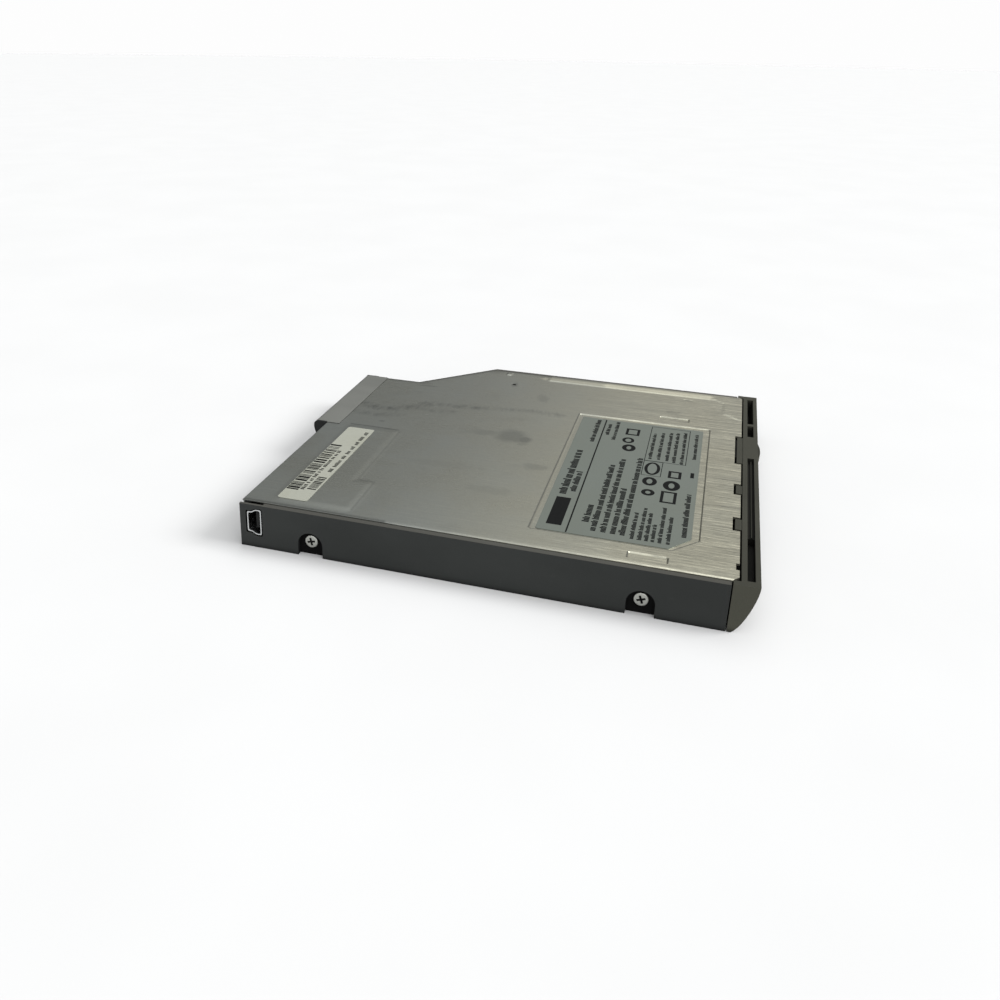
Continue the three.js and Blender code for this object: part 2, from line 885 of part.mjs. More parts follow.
function frontBezel() {
  const face = bezelCurve().getPoints(10).map((p) => [p.x, p.y]);
  const above = coverTop + cutOver;
  const channel = [-bezelDepth + frontSkin, -channelRear];
  const through = [-bezelDepth - cutOver, cutOver];
  const farInner = moduleWidth - farCap;
  const slotX = [doorSide - runGap, doorRight + runGap];
  let bezel = beam([[-seamGap, 0], [-seamGap, coverTop], ...face.reverse()], [0, moduleWidth]);
  const behindSkin = beam(
    [
      [frontSkin, 0],
      [frontSkin, above],
      [frontSkin - bezelDepth, above],
      ...face.map(([y, z]) => [y + frontSkin, z]),
    ],
    [0, moduleWidth],
  );
  const shelf = block([plateInset - fitGap, moduleWidth - coverRight + fitGap], [-flangeRear, cutOver], [
    coverTop - shelfDrop,
    above,
  ]);
  bezel = bezel.subtract(shelf);
  for (const [from, to] of coverNotches()) {
    const x = [from + lugGap, to - lugGap];
    const lug = [coverTop - shelfDrop - fitGap, coverTop - lugDrop];
    bezel = bezel.add(block(x, [-flangeRear - fitGap, -seamGap], lug));
  }
  bezel = cut(
    bezel,
    block([endCap, pocketEnd], channel, [coverTop - pocketDrop, above]),
    block([pocketEnd - fitGap, bossLeft], channel, [coverTop - channelDrop, above]),
    block([bossRight, ribLeft], channel, [coverTop - pocketDrop, above]),
    block([ribRight, farInner], channel, [coverTop - deepDrop, above]).intersect(behindSkin),
    block(slotX, through, [slotBottom, slotTop]),
    block(slotX, [-doorBack - doorThick - runGap, cutOver], [slotBottom, doorCeiling]),
    bar("x", [doorPivotY, doorPivotZ], doorPinRadius + boreGap, [
      doorSide - doorPinLength - boreGap,
      doorRight + doorPinLength + boreGap,
    ], 16),
    block([buttonLeft - runGap, buttonRight + runGap], through, [
      buttonBottom - runGap / 2,
      buttonTop + runGap / 2,
    ]),
    block([lightLeft - fitGap, lightLeft + lightWidth + fitGap], through, [
      lightBottom - fitGap,
      lightBottom + lightHeight + fitGap,
    ]),
  );
  const ridgeY = -(bezelDepth - frontSkin + channelRear) / 2;
  const ridge = block([pocketEnd - fitGap, bossLeft + fitGap], [ridgeY - ridgeWidth, ridgeY], [
    coverTop - channelDrop - fitGap,
    coverTop - channelDrop + ridgeRise,
  ]);
  return bezel.add(ridge);
}

// Disk door, modelled about its hinge line
function diskDoor() {
  const bottom = slotBottom + runGap / 2 - doorPivotZ;
  const half = doorThick / 2;
  return joined(
    block([doorSide, doorRight], [-half, half], [bottom, half]),
    bar("x", [0, 0], doorBarrelRadius, [doorSide, doorRight], 16),
    bar("x", [0, 0], doorPinRadius, [doorSide - doorPinLength, doorRight + doorPinLength], 16),
  );
}

// Eject button with a crowned front and a flat stem that reaches the slide plate
function ejectButton() {
  const middle = (buttonLeft + buttonRight) / 2;
  const crown = new THREE.Shape();
  crown.moveTo(buttonRight, buttonTail);
  crown.lineTo(buttonLeft, buttonTail);
  crown.lineTo(buttonLeft, -bezelDepth + fitGap);
  crown.quadraticCurveTo(middle, -bezelDepth - 2 * buttonProud, buttonRight, -bezelDepth + fitGap);
  const stem = block([buttonLeft + stemInset, buttonRight - stemInset], [buttonTail - fitGap, stemRear], [
    buttonBottom,
    buttonBottom + stemThick,
  ]);
  return slab(crown, [buttonBottom, buttonTop]).add(stem);
}

function lightPipe() {
  const front = bezelCurve().getPoint(0.5).x;
  const z = [lightBottom, lightBottom + lightHeight];
  return block([lightLeft, lightLeft + lightWidth], [front, lightRear], z);
}

function activityLamp() {
  return block([partitionRight, lightLeft + lightWidth], [lightRear, lightRear + lampLength], [
    lightBottom,
    lightBottom + lightHeight,
  ]);
}

// Steel chassis: a floor with two upright side walls that the side screws hold
function driveChassis() {
  const [left, right] = [mechanismLeft, mechanismRight];
  const y = [chassisFront, mechanismLength];
  const wallZ = [plateThick, chassisTop];
  let chassis = joined(
    block([left, right], y, [plateThick, floorTop]),
    block(
      [wellLeft + wellGap, wellRight - wellGap],
      [mechanismLength - fitGap, wellRear - wellGap],
      [plateThick, floorTop],
    ),
    block(
      [stepperX - motorTongue, stepperX + motorTongue],
      [wellRear - cutOver, stepperRear],
      [plateThick, floorTop],
    ),
    block([left, left + chassisWall], y, wallZ),
    block([right - chassisWall, right], y, wallZ),
  );
  const rod = [guideRodX, guideRodHeight];
  for (const clip of [rodFront, rodRear - clipWall]) {
    const x = [guideRodX - clipHalf, guideRodX + clipHalf];
    const clipZ = [floorTop - fitGap, guideRodHeight + guideRodRadius / 2];
    chassis = chassis.add(block(x, [clip, clip + clipWall], clipZ));
  }
  const rodRoom = [rodFront - cutOver, rodRear + cutOver];
  chassis = chassis.subtract(bar("y", rod, guideRodRadius + boreGap / 2, rodRoom, 16));
  for (const pin of [guidePinFront, guidePinRear]) {
    const half = guidePinRadius + fitGap;
    const slotZ = [guidePinZ - holderLift - half, guidePinZ + half];
    chassis = chassis.subtract(block([left - cutOver, right + cutOver], [pin - half, pin + half], slotZ));
  }
  for (const screw of [screwFront, screwRear]) {
    const hole = bar("x", [screw, screwHeight], screwShankRadius + fitGap, [left - cutOver, right + cutOver]);
    chassis = chassis.subtract(hole);
  }
  for (const [x, at] of chassisBosses()) {
    chassis = chassis.subtract(bar("z", [x, at], screwShankRadius + fitGap, [0, floorTop + cutOver]));
  }
  return chassis;
}

// Disk holder: a shallow channel with lips that carry the disk's edges
function diskHolder() {
  const y = [holderFront, holderRear];
  const [left, right] = [holderLeft, holderRight];
  let holder = joined(
    block([left, right], y, [passageTop, holderTop]),
    block([left, left + sheet], y, [discUp - sheet, holderTop]),
    block([right - sheet, right], y, [discUp - sheet, holderTop]),
    block([left, left + holderLip], y, [discUp - sheet, discUp]),
    block([right - holderLip, right], y, [discUp - sheet, discUp]),
  );
  for (const x of [left + sheet + stopInset, right - sheet - stopInset - stopWidth]) {
    const stop = [discUp + holderLift / 2, passageTop + fitGap];
    holder = holder.add(block([x, x + stopWidth], [discDepth + runGap, discDepth + runGap + sheet], stop));
  }
  for (const pin of [guidePinFront, guidePinRear]) {
    const reach = [mechanismLeft + fitGap, left + sheet / 2];
    holder = holder.add(bar("x", [pin, guidePinZ], guidePinRadius, reach, 16));
    const farReach = [right - sheet / 2, mechanismRight - fitGap];
    holder = holder.add(bar("x", [pin, guidePinZ], guidePinRadius, farReach, 16));
  }
  const windowX = [mechanismMiddle - windowLeft, mechanismMiddle + windowRight];
  const window = block(windowX, [holderRear - windowLength, holderRear + cutOver], [
    passageTop - cutOver,
    holderTop + cutOver,
  ]);
  const postZ = [passageTop + sheet / 2, holderTop + runGap + leverThick];
  const post = bar("z", [leverX, leverY], leverPost, postZ, 16);
  return holder.subtract(window).subtract(leverPath()).add(post);
}

// Curved slot in the holder's top that the shutter lever's pin sweeps through
function leverPath() {
  const half = leverPin + runGap;
  const from = THREE.MathUtils.degToRad(leverRest) + half / leverLength;
  const to = THREE.MathUtils.degToRad(leverRest - leverSwing) - half / leverLength;
  const shape = new THREE.Shape();
  shape.absarc(leverX, leverY, leverLength + half, from, to, true);
  shape.absarc(leverX, leverY, leverLength - half, to, from, false);
  return slab(shape, [passageTop - cutOver, holderTop + cutOver]);
}

// Slide plate: a bridge above the holder, two arms, and side flanges with inclined cam slots
function slidePlate() {
  const [left, right] = [slideLeft, slideRight];
  const bridgeRear = slideFront + slideBridge;
  const flangeY = [slideFlangeFront, slideRear];
  const flangeZ = [slideFoot, slideTop];
  const tab = [buttonLeft + stemInset, buttonRight - stemInset];
  let slide = joined(
    block([left, right], [slideFront, bridgeRear], [slideBottom, slideTop]),
    block([left, left + slideArm], [bridgeRear - cutOver, slideRear], [slideBottom, slideTop]),
    block([right - slideArm, right], [bridgeRear - cutOver, slideRear], [slideBottom, slideTop]),
    block([left, left + chassisSheet], flangeY, flangeZ),
    block([right - chassisSheet, right], flangeY, flangeZ),
    block(tab, [slideFront, stemRear], [slideBottom, buttonBottom]),
  );
  for (const pin of [guidePinFront, guidePinRear]) {
    slide = slide.subtract(beam(camOutline(pin), [left - cutOver, right + cutOver]));
  }
  return slide;
}

function camOutline(pinY) {
  const half = guidePinRadius + fitGap;
  const slope = Math.atan2(holderLift, slideTravel);
  const shape = new THREE.Shape();
  shape.absarc(pinY, guidePinZ, half, Math.PI / 2 - slope, (3 * Math.PI) / 2 - slope, false);
  const right = Math.PI / 2;
  shape.absarc(pinY + slideTravel, guidePinZ - holderLift, half, -right - slope, right - slope, false);
  return shape;
}

// Shutter lever, modelled about its post with its arm along X
function shutterLever() {
  const bottom = holderTop + runGap / 2;
  const top = bottom + leverThick;
  const arm = [
    [0, -leverHub],
    [leverLength, -leverTip],
    [leverLength, leverTip],
    [0, leverHub],
  ];
  const body = joined(
    slab(arm, [bottom, top]),
    bar("z", [0, 0], leverHub, [bottom, top]),
    bar("z", [leverLength, 0], leverTip, [bottom, top]),
    bar("z", [leverLength, 0], leverPin, [passageTop - leverPinDrop, top], 12),
  );
  return body.subtract(bar("z", [0, 0], leverPost + boreGap, [bottom - cutOver, top + cutOver], 16));
}

// Coil spring that draws the slide plate forward
function slideSpring() {
  return helix([springX, springFront, springHeight], springRadius, springWire, springLength, springTurns, 6);
}

function springAnchor() {
  const y = springFront - springPost - runGap;
  return bar("z", [springX, y], springPost, [floorTop, springHeight + springRadius], 12);
}

// Spindle motor
function spindleBoard() {
  const x = [spindleX - boardWide / 2, spindleX + boardWide / 2];
  const board = block(x, [spindleY - boardAhead, spindleY + boardBehind], [floorTop, spindleBoardTop]);
  return board.subtract(bar("z", [spindleX, spindleY], bearingRadius + fitGap, [0, coverTop]));
}

function spindleBearing() {
  const bush = bar("z", [spindleX, spindleY], bearingRadius, [floorTop, bearingTop]);
  const bore = [floorTop - cutOver, bearingTop + cutOver];
  return bush.subtract(bar("z", [spindleX, spindleY], shaftRadius + boreGap, bore, 24));
}

function statorCorePiece() {
  let stator = bar("z", [spindleX, spindleY], statorRadius, [spindleBoardTop, statorTop], 36);
  stator = stator.subtract(bar("z", [spindleX, spindleY], bearingRadius + fitGap, [0, coverTop]));
  for (let tooth = 0; tooth < statorTeeth; tooth++) {
    const slotY = [-statorSlot / 2, statorSlot / 2];
    const slot = block([statorCore, statorRadius + cutOver], slotY, [0, coverTop]);
    const turned = slot.rotate([0, 0, (360 / statorTeeth) * tooth]);
    stator = stator.subtract(turned.translate([spindleX, spindleY, 0]));
  }
  return stator;
}

function spindleRotor() {
  const cup = bar("z", [0, 0], rotorRadius, [rotorFloor, rotorTop], 40);
  return cut(
    cup,
    bar("z", [0, 0], magnetInner, [rotorFloor - cutOver, rotorTop - rotorSkin], 32),
    bar("z", [0, 0], shaftRadius + boreGap / 2, [0, coverTop], 24),
  );
}

function chuckingHub() {
  const hub = bar("z", [0, 0], hubRadius, [rotorTop, hubTop], 36);
  return cut(
    hub,
    bar("z", [0, 0], shaftRadius + boreGap / 2, [0, coverTop], 24),
    bar("z", [drivePinOrbit, 0], drivePinRadius + boreGap / 2, [0, coverTop], 16),
  );
}

function spindleShaft() {
  return bar("z", [0, 0], shaftRadius, [floorTop + fitGap, shaftTop], 24);
}

function drivePin() {
  return bar("z", [drivePinOrbit, 0], drivePinRadius, [rotorTop, shaftTop], 16);
}

// Head carriage: a low plate on the guide rod with a tall riser at its rear
function headCarriage() {
  const rod = [guideRodX, guideRodHeight];
  const middle = (carriageLeft + riserRight) / 2;
  const needle = stepperX + threadRadius + runGap;
  let carriage = joined(
    block(
      [carriageLeft + fitGap, carriageRight],
      [carriageFront, carriageRear],
      [carriageBottom, carriageTop],
    ),
    bar("y", rod, sleeveRadius, [carriageFront, carriageRear], 16).intersect(
      block([0, moduleWidth], [0, bodyLength], [carriageBottom, coverTop]),
    ),
    block([carriageLeft, riserRight], [riserFront, carriageRear], [carriageBottom, riserTop]),
    block([carriageLeft, carriageLeft + earWall], [riserFront, carriageRear], [riserTop - fitGap, earTop]),
    block([riserRight - earWall, riserRight], [riserFront, carriageRear], [riserTop - fitGap, earTop]),
    block([needle, carriageLeft + fitGap], [needleFront, needleFront + needleWidth], [
      stepperZ - needleHeight / 2,
      stepperZ + needleHeight / 2,
    ]),
  );
  carriage = cut(
    carriage,
    bar("y", rod, guideRodRadius + boreGap, [0, bodyLength], 16),
    bar("x", [armPivotY, armPivotZ], armPin + boreGap, [carriageLeft - cutOver, riserRight + cutOver], 16),
    block(
      [middle - headWidth / 2, middle + headWidth / 2],
      [headY + headLength, riserFront - headLength],
      [0, coverTop],
    ),
  );
  return carriage;
}

function lowerHead() {
  const middle = (carriageLeft + riserRight) / 2;
  return block(
    [middle - headWidth / 2, middle + headWidth / 2],
    [headY - headLength / 2, headY + headLength / 2],
    [carriageTop, headTop],
  );
}

// Upper head arm, modelled about its pivot
function upperHeadArm() {
  const left = carriageLeft + earWall + runGap / 2;
  const right = riserRight - earWall - runGap / 2;
  const middle = (carriageLeft + riserRight) / 2;
  const reach = headY - armTip - armPivotY;
  const plan = [
    [left, 0],
    [middle - armTipWidth / 2, reach],
    [middle + armTipWidth / 2, reach],
    [right, 0],
  ];
  return joined(
    slab(plan, [armRise, armRise + armThick]),
    bar("x", [0, 0], armHub, [left, right], 16),
    bar("x", [0, 0], armPin, [carriageLeft, riserRight], 16),
  );
}

function upperHead() {
  const middle = (carriageLeft + riserRight) / 2;
  const y = headY - armPivotY;
  return block([middle - headWidth / 2, middle + headWidth / 2], [y - headLength / 2, y + headLength / 2], [
    armRise - upperHeadHeight,
    armRise,
  ]);
}

function guideRod() {
  return bar("y", [guideRodX, guideRodHeight], guideRodRadius, [rodFront, rodRear], 16);
}

// Bracket that holds the stepper motor and the far end of its lead screw
function motorBracket() {
  const x = [stepperX - bracketHalf, stepperX + bracketHalf];
  const axis = [stepperX, stepperZ];
  const bracket = joined(
    block(x, [bracketFront, stepperFront], [floorTop, floorTop + bracketWall]),
    block(x, [bracketFront, bracketFront + bracketWall], [floorTop, bracketTop]),
    block(x, [stepperFront - bracketWall, stepperFront], [floorTop, bracketTop]),
  );
  return bracket.subtract(bar("y", axis, screwAxleRadius + boreGap, [0, bodyLength], 16));
}

function stepperMotor() {
  const motor = bar("y", [stepperX, stepperZ], stepperRadius, [stepperFront, stepperRear], 24);
  const boreY = [0, stepperRear - bracketWall * 2];
  const bore = bar("y", [stepperX, stepperZ], screwAxleRadius + boreGap, boreY, 16);
  return motor.subtract(bore);
}

// Lead screw with a raised helical thread, modelled about its axis
function leadScrew() {
  const front = bracketFront + fitGap;
  const rear = stepperRear - bracketWall * 3;
  const threadFront = bracketFront + bracketWall + runGap + threadWire;
  const threadRear = stepperFront - bracketWall - runGap - threadWire;
  const turns = Math.floor((threadRear - threadFront) / threadPitch);
  const axle = bar("y", [0, 0], screwAxleRadius, [front, rear], 16);
  const length = turns * threadPitch;
  const thread = helix([0, threadFront, 0], threadRadius - threadWire, threadWire, length, turns, 10);
  return axle.add(thread);
}

// Controller board behind and beside the mechanism
function controllerBoard() {
  const z = [boardBottom, boardTop];
  const board = block([railFoot + runGap, rearWidth - railWall - runGap], [boardEdge, rearInner - runGap], z);
  return cut(
    board,
    block([wellLeft - wellGap, wellRight + wellGap], [0, wellRear + wellGap], [0, coverTop]),
    block(
      [stepperX - motorTongue - wellGap, stepperX + motorTongue + wellGap],
      [0, stepperRear + wellGap],
      [0, coverTop],
    ),
  );
}

function controllerChip() {
  const left = rearWidth - chipInset;
  return block([left, left + chipSide], [chipFront, chipFront + chipSide], [boardTop, boardTop + chipHeight]);
}

function crystalCan() {
  const left = rearWidth - crystalInset;
  return block([left, left + crystalWidth], [chipFront, chipFront + crystalLength], [
    boardTop,
    boardTop + crystalHeight,
  ]);
}

function capacitor() {
  return bar("z", [canX, boardEdge + canMargin], canRadius, [boardTop, boardTop + canHeight]);
}

function sensorSwitch(x) {
  const body = block([x, x + switchSide], [switchFront, switchFront + switchSide], [floorTop, switchTop]);
  const middle = [x + switchSide / 2, switchFront + switchSide / 2];
  const wellZ = [switchTop - plungerTravel - runGap, switchTop + cutOver];
  const well = bar("z", middle, plungerRadius + fitGap, wellZ, 12);
  return body.subtract(well);
}

function switchPlunger() {
  return bar("z", [0, 0], plungerRadius, [switchTop, plungerTop], 12);
}

function trackSensor() {
  return block(
    [sensorLeft, sensorLeft + sensorSide],
    [sensorFront, sensorFront + sensorSide],
    [floorTop, sensorTop],
  );
}

// Flat ribbon that climbs from the chassis floor onto the controller board
function driveRibbon() {
  const top = ribbonThick;
  const start = spindleY + boardBehind + fitGap;
  const foot = boardEdge - ribbonRamp - runGap;
  const climb = boardEdge - runGap;
  const outline = [
    [start, floorTop],
    [foot, floorTop],
    [climb, boardTop],
    [climb + ribbonLanding, boardTop],
    [climb + ribbonLanding, boardTop + top],
    [climb - top, boardTop + top],
    [foot - top, floorTop + top],
    [start, floorTop + top],
  ];
  return beam(outline, [ribbonLeft, ribbonLeft + ribbonWidth]);
}

// Outline of the mini socket: a tall front half that steps in to a shorter rear half
function socketOutline(grow) {
  const depth = socketRear - socketFront;
  const tall = socketTall / 2 + grow;
  const short = socketShort / 2 + grow;
  const front = socketFront - grow;
  const rear = socketRear + grow;
  const knee = socketFront + depth * socketKneeShare;
  const waist = socketFront + depth * socketWaistShare;
  const z = socketMiddle;
  return eased(
    [
      [front, z - tall],
      [knee, z - tall],
      [waist, z - short],
      [rear, z - short],
      [rear, z + short],
      [waist, z + short],
      [knee, z + tall],
      [front, z + tall],
    ],
    socketCorner,
  );
}

// An outline with each corner rounded off over the same length of its two sides
function eased(corners, length) {
  return corners.flatMap((corner, i) => {
    const here = new THREE.Vector2(...corner);
    const towards = (other) => {
      const way = new THREE.Vector2(...other).sub(here);
      return here.clone().addScaledVector(way, Math.min(length / way.length(), 0.5));
    };
    const start = towards(corners.at(i - 1));
    const end = towards(corners[(i + 1) % corners.length]);
    return new THREE.QuadraticBezierCurve(start, here, end).getPoints(2).map((p) => [p.x, p.y]);
  });
}

function socketShellPiece() {
  const x = [socketInset, socketInset + socketDepth];
  const room = beam(socketOutline(-socketShell), [x[0] - cutOver, x[1] + cutOver]);
  const shell = beam(socketOutline(0), x).subtract(room);
  const legX = [railFoot + runGap, x[1] - legWidth];
  const legY = [socketFront, socketFront + legWidth];
  const legZ = [boardTop, socketMiddle - socketTall / 2 + socketShell / 2];
  return legX.reduce((whole, leg) => whole.add(block([leg, leg + legWidth], legY, legZ)), shell);
}

function socketTongue() {
  const back = socketInset + socketDepth - fitGap;
  const middleY = socketFront + (socketRear - socketFront) * socketKneeShare;
  const plug = beam(socketOutline(-socketShell - fitGap / 2), [back - socketBack, back]);
  const tongue = block(
    [socketInset + tongueReach, back - fitGap],
    [middleY - tongueThick / 2, middleY + tongueThick / 2],
    [socketMiddle - tongueTall / 2, socketMiddle + tongueTall / 2],
  );
  return plug.add(tongue);
}

// Bay connector housing with a wide mouth at the rear
function connectorHousing() {
  const right = rearWidth - railWall - fitGap;
  const z = [connectorBottom, connectorTop];
  const tailY = [frameBack + fitGap, connectorRear];
  const housing = joined(
    block([connectorLeft, right], [connectorFront, connectorRear], z),
    block([right - cutOver, rearWidth - fitGap], tailY, z),
    block([rearWidth - cheekWall + fitGap, rearWidth - fitGap], tailY, [connectorBottom, coverTop]),
    beam(capOutline(), [hoodLeft, hoodLeft + capThick]),
    block([hoodLeft + capThick - fitGap, connectorLeft + fitGap], [capFront, hoodRear - capTuck], z),
  );
  return cut(
    housing,
    block([mouthLeft, mouthRight], [mouthFloor, connectorRear + cutOver], [mouthBottom, mouthTop]),
    block([mouthLeft, mouthRight], [0, mouthFloor - cheekWall], [mouthTop + cheekWall, coverTop]),
  );
}

// One row of contacts: a spine along the mouth's floor with a finger on each pitch
function contactRow(inner, outer) {
  const z = [Math.min(inner, outer), Math.max(inner, outer)];
  const pitch = (mouthRight - mouthLeft) / contactCount;
  let row = block([mouthLeft, mouthRight], [mouthFloor, mouthFloor + contactSpine], z);
  for (let i = 0; i < contactCount; i++) {
    const x = mouthLeft + pitch * (i + 0.5 - contactFillShare / 2);
    const finger = block([x, x + pitch * contactFillShare], [mouthFloor, connectorRear - contactSpine], z);
    row = row.add(finger);
  }
  return row;
}

// Closed end of the connector under the hood's left end, with the hood's round rear edge
function capOutline() {
  const shape = new THREE.Shape();
  shape.moveTo(capFront, connectorBottom);
  shape.lineTo(hoodRear - capTuck, connectorBottom);
  shape.lineTo(hoodRear - capTuck, capFoot);
  shape.quadraticCurveTo(hoodRear, (capFoot + hoodTop - hoodRound) / 2, hoodRear, hoodTop - hoodRound);
  shape.absarc(hoodRear - hoodRound, hoodTop - hoodRound, hoodRound, 0, Math.PI / 2, false);
  shape.lineTo(capFront, hoodTop);
  return shape;
}

function connectorHood() {
  const inner = hoodRear - hoodSkin;
  const shape = new THREE.Shape();
  shape.moveTo(hoodFront, coverTop);
  shape.lineTo(bodyLength + fitGap, coverTop);
  shape.lineTo(bodyLength + fitGap, connectorTop + fitGap);
  shape.lineTo(inner, connectorTop + fitGap);
  shape.lineTo(inner, hoodTop - hoodDrop);
  shape.lineTo(hoodRear, hoodTop - hoodDrop);
  shape.lineTo(hoodRear, hoodTop - hoodRound);
  shape.absarc(hoodRear - hoodRound, hoodTop - hoodRound, hoodRound, 0, Math.PI / 2, false);
  shape.lineTo(hoodFront, hoodTop);
  const capRoom = block(
    [hoodLeft - cutOver, hoodLeft + capThick + fitGap],
    [bodyLength + fitGap, hoodRear + cutOver],
    [0, hoodTop + cutOver],
  );
  return beam(shape, [hoodLeft, rearWidth - cheekWall]).subtract(capRoom);
}

// A cross-head screw along Z with its head's top at zero, pointing down
function screw(headHeight, reach) {
  const head = bar("z", [0, 0], screwHeadRadius, [-headHeight, 0], 20);
  const shank = bar("z", [0, 0], screwShankRadius, [-headHeight - reach, -headHeight + fitGap], 14);
  const half = [crossLength / 2, crossWidth / 2];
  const depth = [-Math.min(crossDepth, headHeight - crossFloor), cutOver];
  const slotA = block([-half[0], half[0]], [-half[1], half[1]], depth);
  const slotB = block([-half[1], half[1]], [-half[0], half[0]], depth);
  return cut(head.add(shank), slotA, slotB);
}

// Scene graph
const materials = Object.fromEntries(
  Object.entries(finishes).map(([name, [color, roughness, metalness]]) => [
    name,
    new THREE.MeshStandardMaterial({ color, roughness, metalness }),
  ]),
);

function piece(parent, name, solid, finish, place = {}) {
  const { numProp, vertProperties, triVerts } = solid.getMesh();
  const geometry = new THREE.BufferGeometry();
  geometry.setAttribute("position", new THREE.BufferAttribute(vertProperties, numProp));
  geometry.setIndex(new THREE.BufferAttribute(triVerts, 1));
  geometry.computeVertexNormals();
  const mesh = new THREE.Mesh(geometry, materials[finish]);
  mesh.name = name;
  mesh.position.set(...(place.at ?? [0, 0, 0]));
  mesh.rotation.set(...(place.turn ?? [0, 0, 0]));
  parent.add(mesh);
  return mesh;
}

const floppyModule = new THREE.Group();
const body = new THREE.Group();
const frontTip = -bezelDepth - buttonProud + fitGap / 2;
body.position.set(-moduleWidth / 2, -(frontTip + hoodRear) / 2, 0);
floppyModule.add(body);

// Carrier, covers and labels
piece(body, "carrier_frame", carrierFrame(), "railPlastic");
piece(body, "base_plate", basePlate(), "plateSteel");
piece(body, "top_cover", topCover(), "brushedSteel");
piece(body, "spec_label", specLabel(), "silverLabel");
piece(body, "strip_label", stripLabel(), "paperLabel");
piece(body, "connector_hood", connectorHood(), "hoodPlastic");

// Bezel and its moving pieces
piece(body, "front_bezel", frontBezel(), "bezelPlastic");
piece(body, "disk_door", diskDoor(), "bezelPlastic", { at: [0, doorPivotY, doorPivotZ] });
piece(body, "eject_button", ejectButton(), "bezelPlastic");
piece(body, "light_pipe", lightPipe(), "clearLens");
piece(body, "activity_lamp", activityLamp(), "ivoryPlastic");

// Screws
const quarter = Math.PI / 2;
const sideScrew = screw(screwHeadHeight, screwReach);
for (const [end, y] of [["front", screwFront], ["rear", screwRear]]) {
  const leftHead = notchDepth - screwHeadHeight;
  const rightHead = partitionRight + screwHeadHeight;
  const left = { at: [leftHead, y, screwHeight], turn: [0, -quarter, 0] };
  piece(body, `left_screw_${end}`, sideScrew, "springSteel", left);
  const right = { at: [rightHead, y, screwHeight], turn: [0, quarter, 0] };
  piece(body, `right_screw_${end}`, sideScrew, "springSteel", right);
}
const baseScrew = screw(baseHeadHeight, baseScrewReach);
[...spareBosses(), ...chassisBosses()].forEach(([x, y], index) => {
  piece(body, `base_screw_${index + 1}`, baseScrew, "springSteel", { at: [x, y, 0], turn: [Math.PI, 0, 0] });
});

// Disk mechanism
piece(body, "drive_chassis", driveChassis(), "plateSteel");
piece(body, "disk_holder", diskHolder(), "plateSteel");
piece(body, "slide_plate", slidePlate(), "plateSteel");
piece(body, "shutter_lever", shutterLever(), "plateSteel", {
  at: [leverX, leverY, 0],
  turn: [0, 0, THREE.MathUtils.degToRad(leverRest)],
});
piece(body, "slide_spring", slideSpring(), "springSteel");
piece(body, "spring_anchor", springAnchor(), "plateSteel");

// Spindle motor
const spindle = new THREE.Group();
spindle.position.set(spindleX, spindleY, 0);
body.add(spindle);
piece(body, "spindle_board", spindleBoard(), "boardGreen");
piece(body, "spindle_bearing", spindleBearing(), "plateSteel");
piece(body, "stator_core", statorCorePiece(), "copperWire");
piece(spindle, "spindle_rotor", spindleRotor(), "rotorSteel");
piece(spindle, "chucking_hub", chuckingHub(), "rotorSteel");
piece(spindle, "spindle_shaft", spindleShaft(), "rotorSteel");
piece(spindle, "drive_pin", drivePin(), "springSteel");

// Heads and their drive
const headArm = new THREE.Group();
headArm.position.set(0, armPivotY, armPivotZ);
body.add(headArm);
piece(body, "head_carriage", headCarriage(), "blackPlastic");
piece(body, "lower_head", lowerHead(), "ceramic");
piece(headArm, "upper_head_arm", upperHeadArm(), "plateSteel");
piece(headArm, "upper_head", upperHead(), "ceramic");
piece(body, "guide_rod", guideRod(), "rotorSteel");
piece(body, "motor_bracket", motorBracket(), "plateSteel");
piece(body, "stepper_motor", stepperMotor(), "rotorSteel");
piece(body, "lead_screw", leadScrew(), "rotorSteel", { at: [stepperX, 0, stepperZ] });

// Boards, switches and connectors
piece(body, "controller_board", controllerBoard(), "boardGreen");
piece(body, "controller_chip", controllerChip(), "blackPlastic");
piece(body, "crystal_can", crystalCan(), "springSteel");
piece(body, "capacitor", capacitor(), "blackPlastic");
piece(body, "drive_ribbon", driveRibbon(), "ribbonFilm");
piece(body, "track_sensor", trackSensor(), "blackPlastic");
const switchLeft = mechanismLeft + switchInsetX;
const switchRight = mechanismRight - switchInsetX - switchSide;
for (const [use, x] of [["protect", switchLeft], ["presence", switchRight]]) {
  const middle = [x + switchSide / 2, switchFront + switchSide / 2, 0];
  piece(body, `${use}_switch`, sensorSwitch(x), "ivoryPlastic");
  piece(body, `${use}_plunger`, switchPlunger(), "blackPlastic", { at: middle });
}
piece(body, "socket_shell", socketShellPiece(), "springSteel");
piece(body, "socket_tongue", socketTongue(), "blackPlastic");
piece(body, "bay_connector", connectorHousing(), "blackPlastic");
piece(body, "lower_contacts", contactRow(mouthBottom, mouthBottom + contactThick), "goldContact");
piece(body, "upper_contacts", contactRow(mouthTop, mouthTop - contactThick), "goldContact");

export default floppyModule;
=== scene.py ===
"""Looks of a laptop floppy drive module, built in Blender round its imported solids.

Sizes are millimetres in the module's own coordinates: X from the left rail, Y from the
bezel's seam towards the rear, Z up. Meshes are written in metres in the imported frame.
"""

import logging
import math
import random
from dataclasses import dataclass
from enum import Enum
from typing import Sequence

import bmesh
import bpy
import numpy as np
from mathutils import Matrix, Vector
from mathutils.geometry import delaunay_2d_cdt


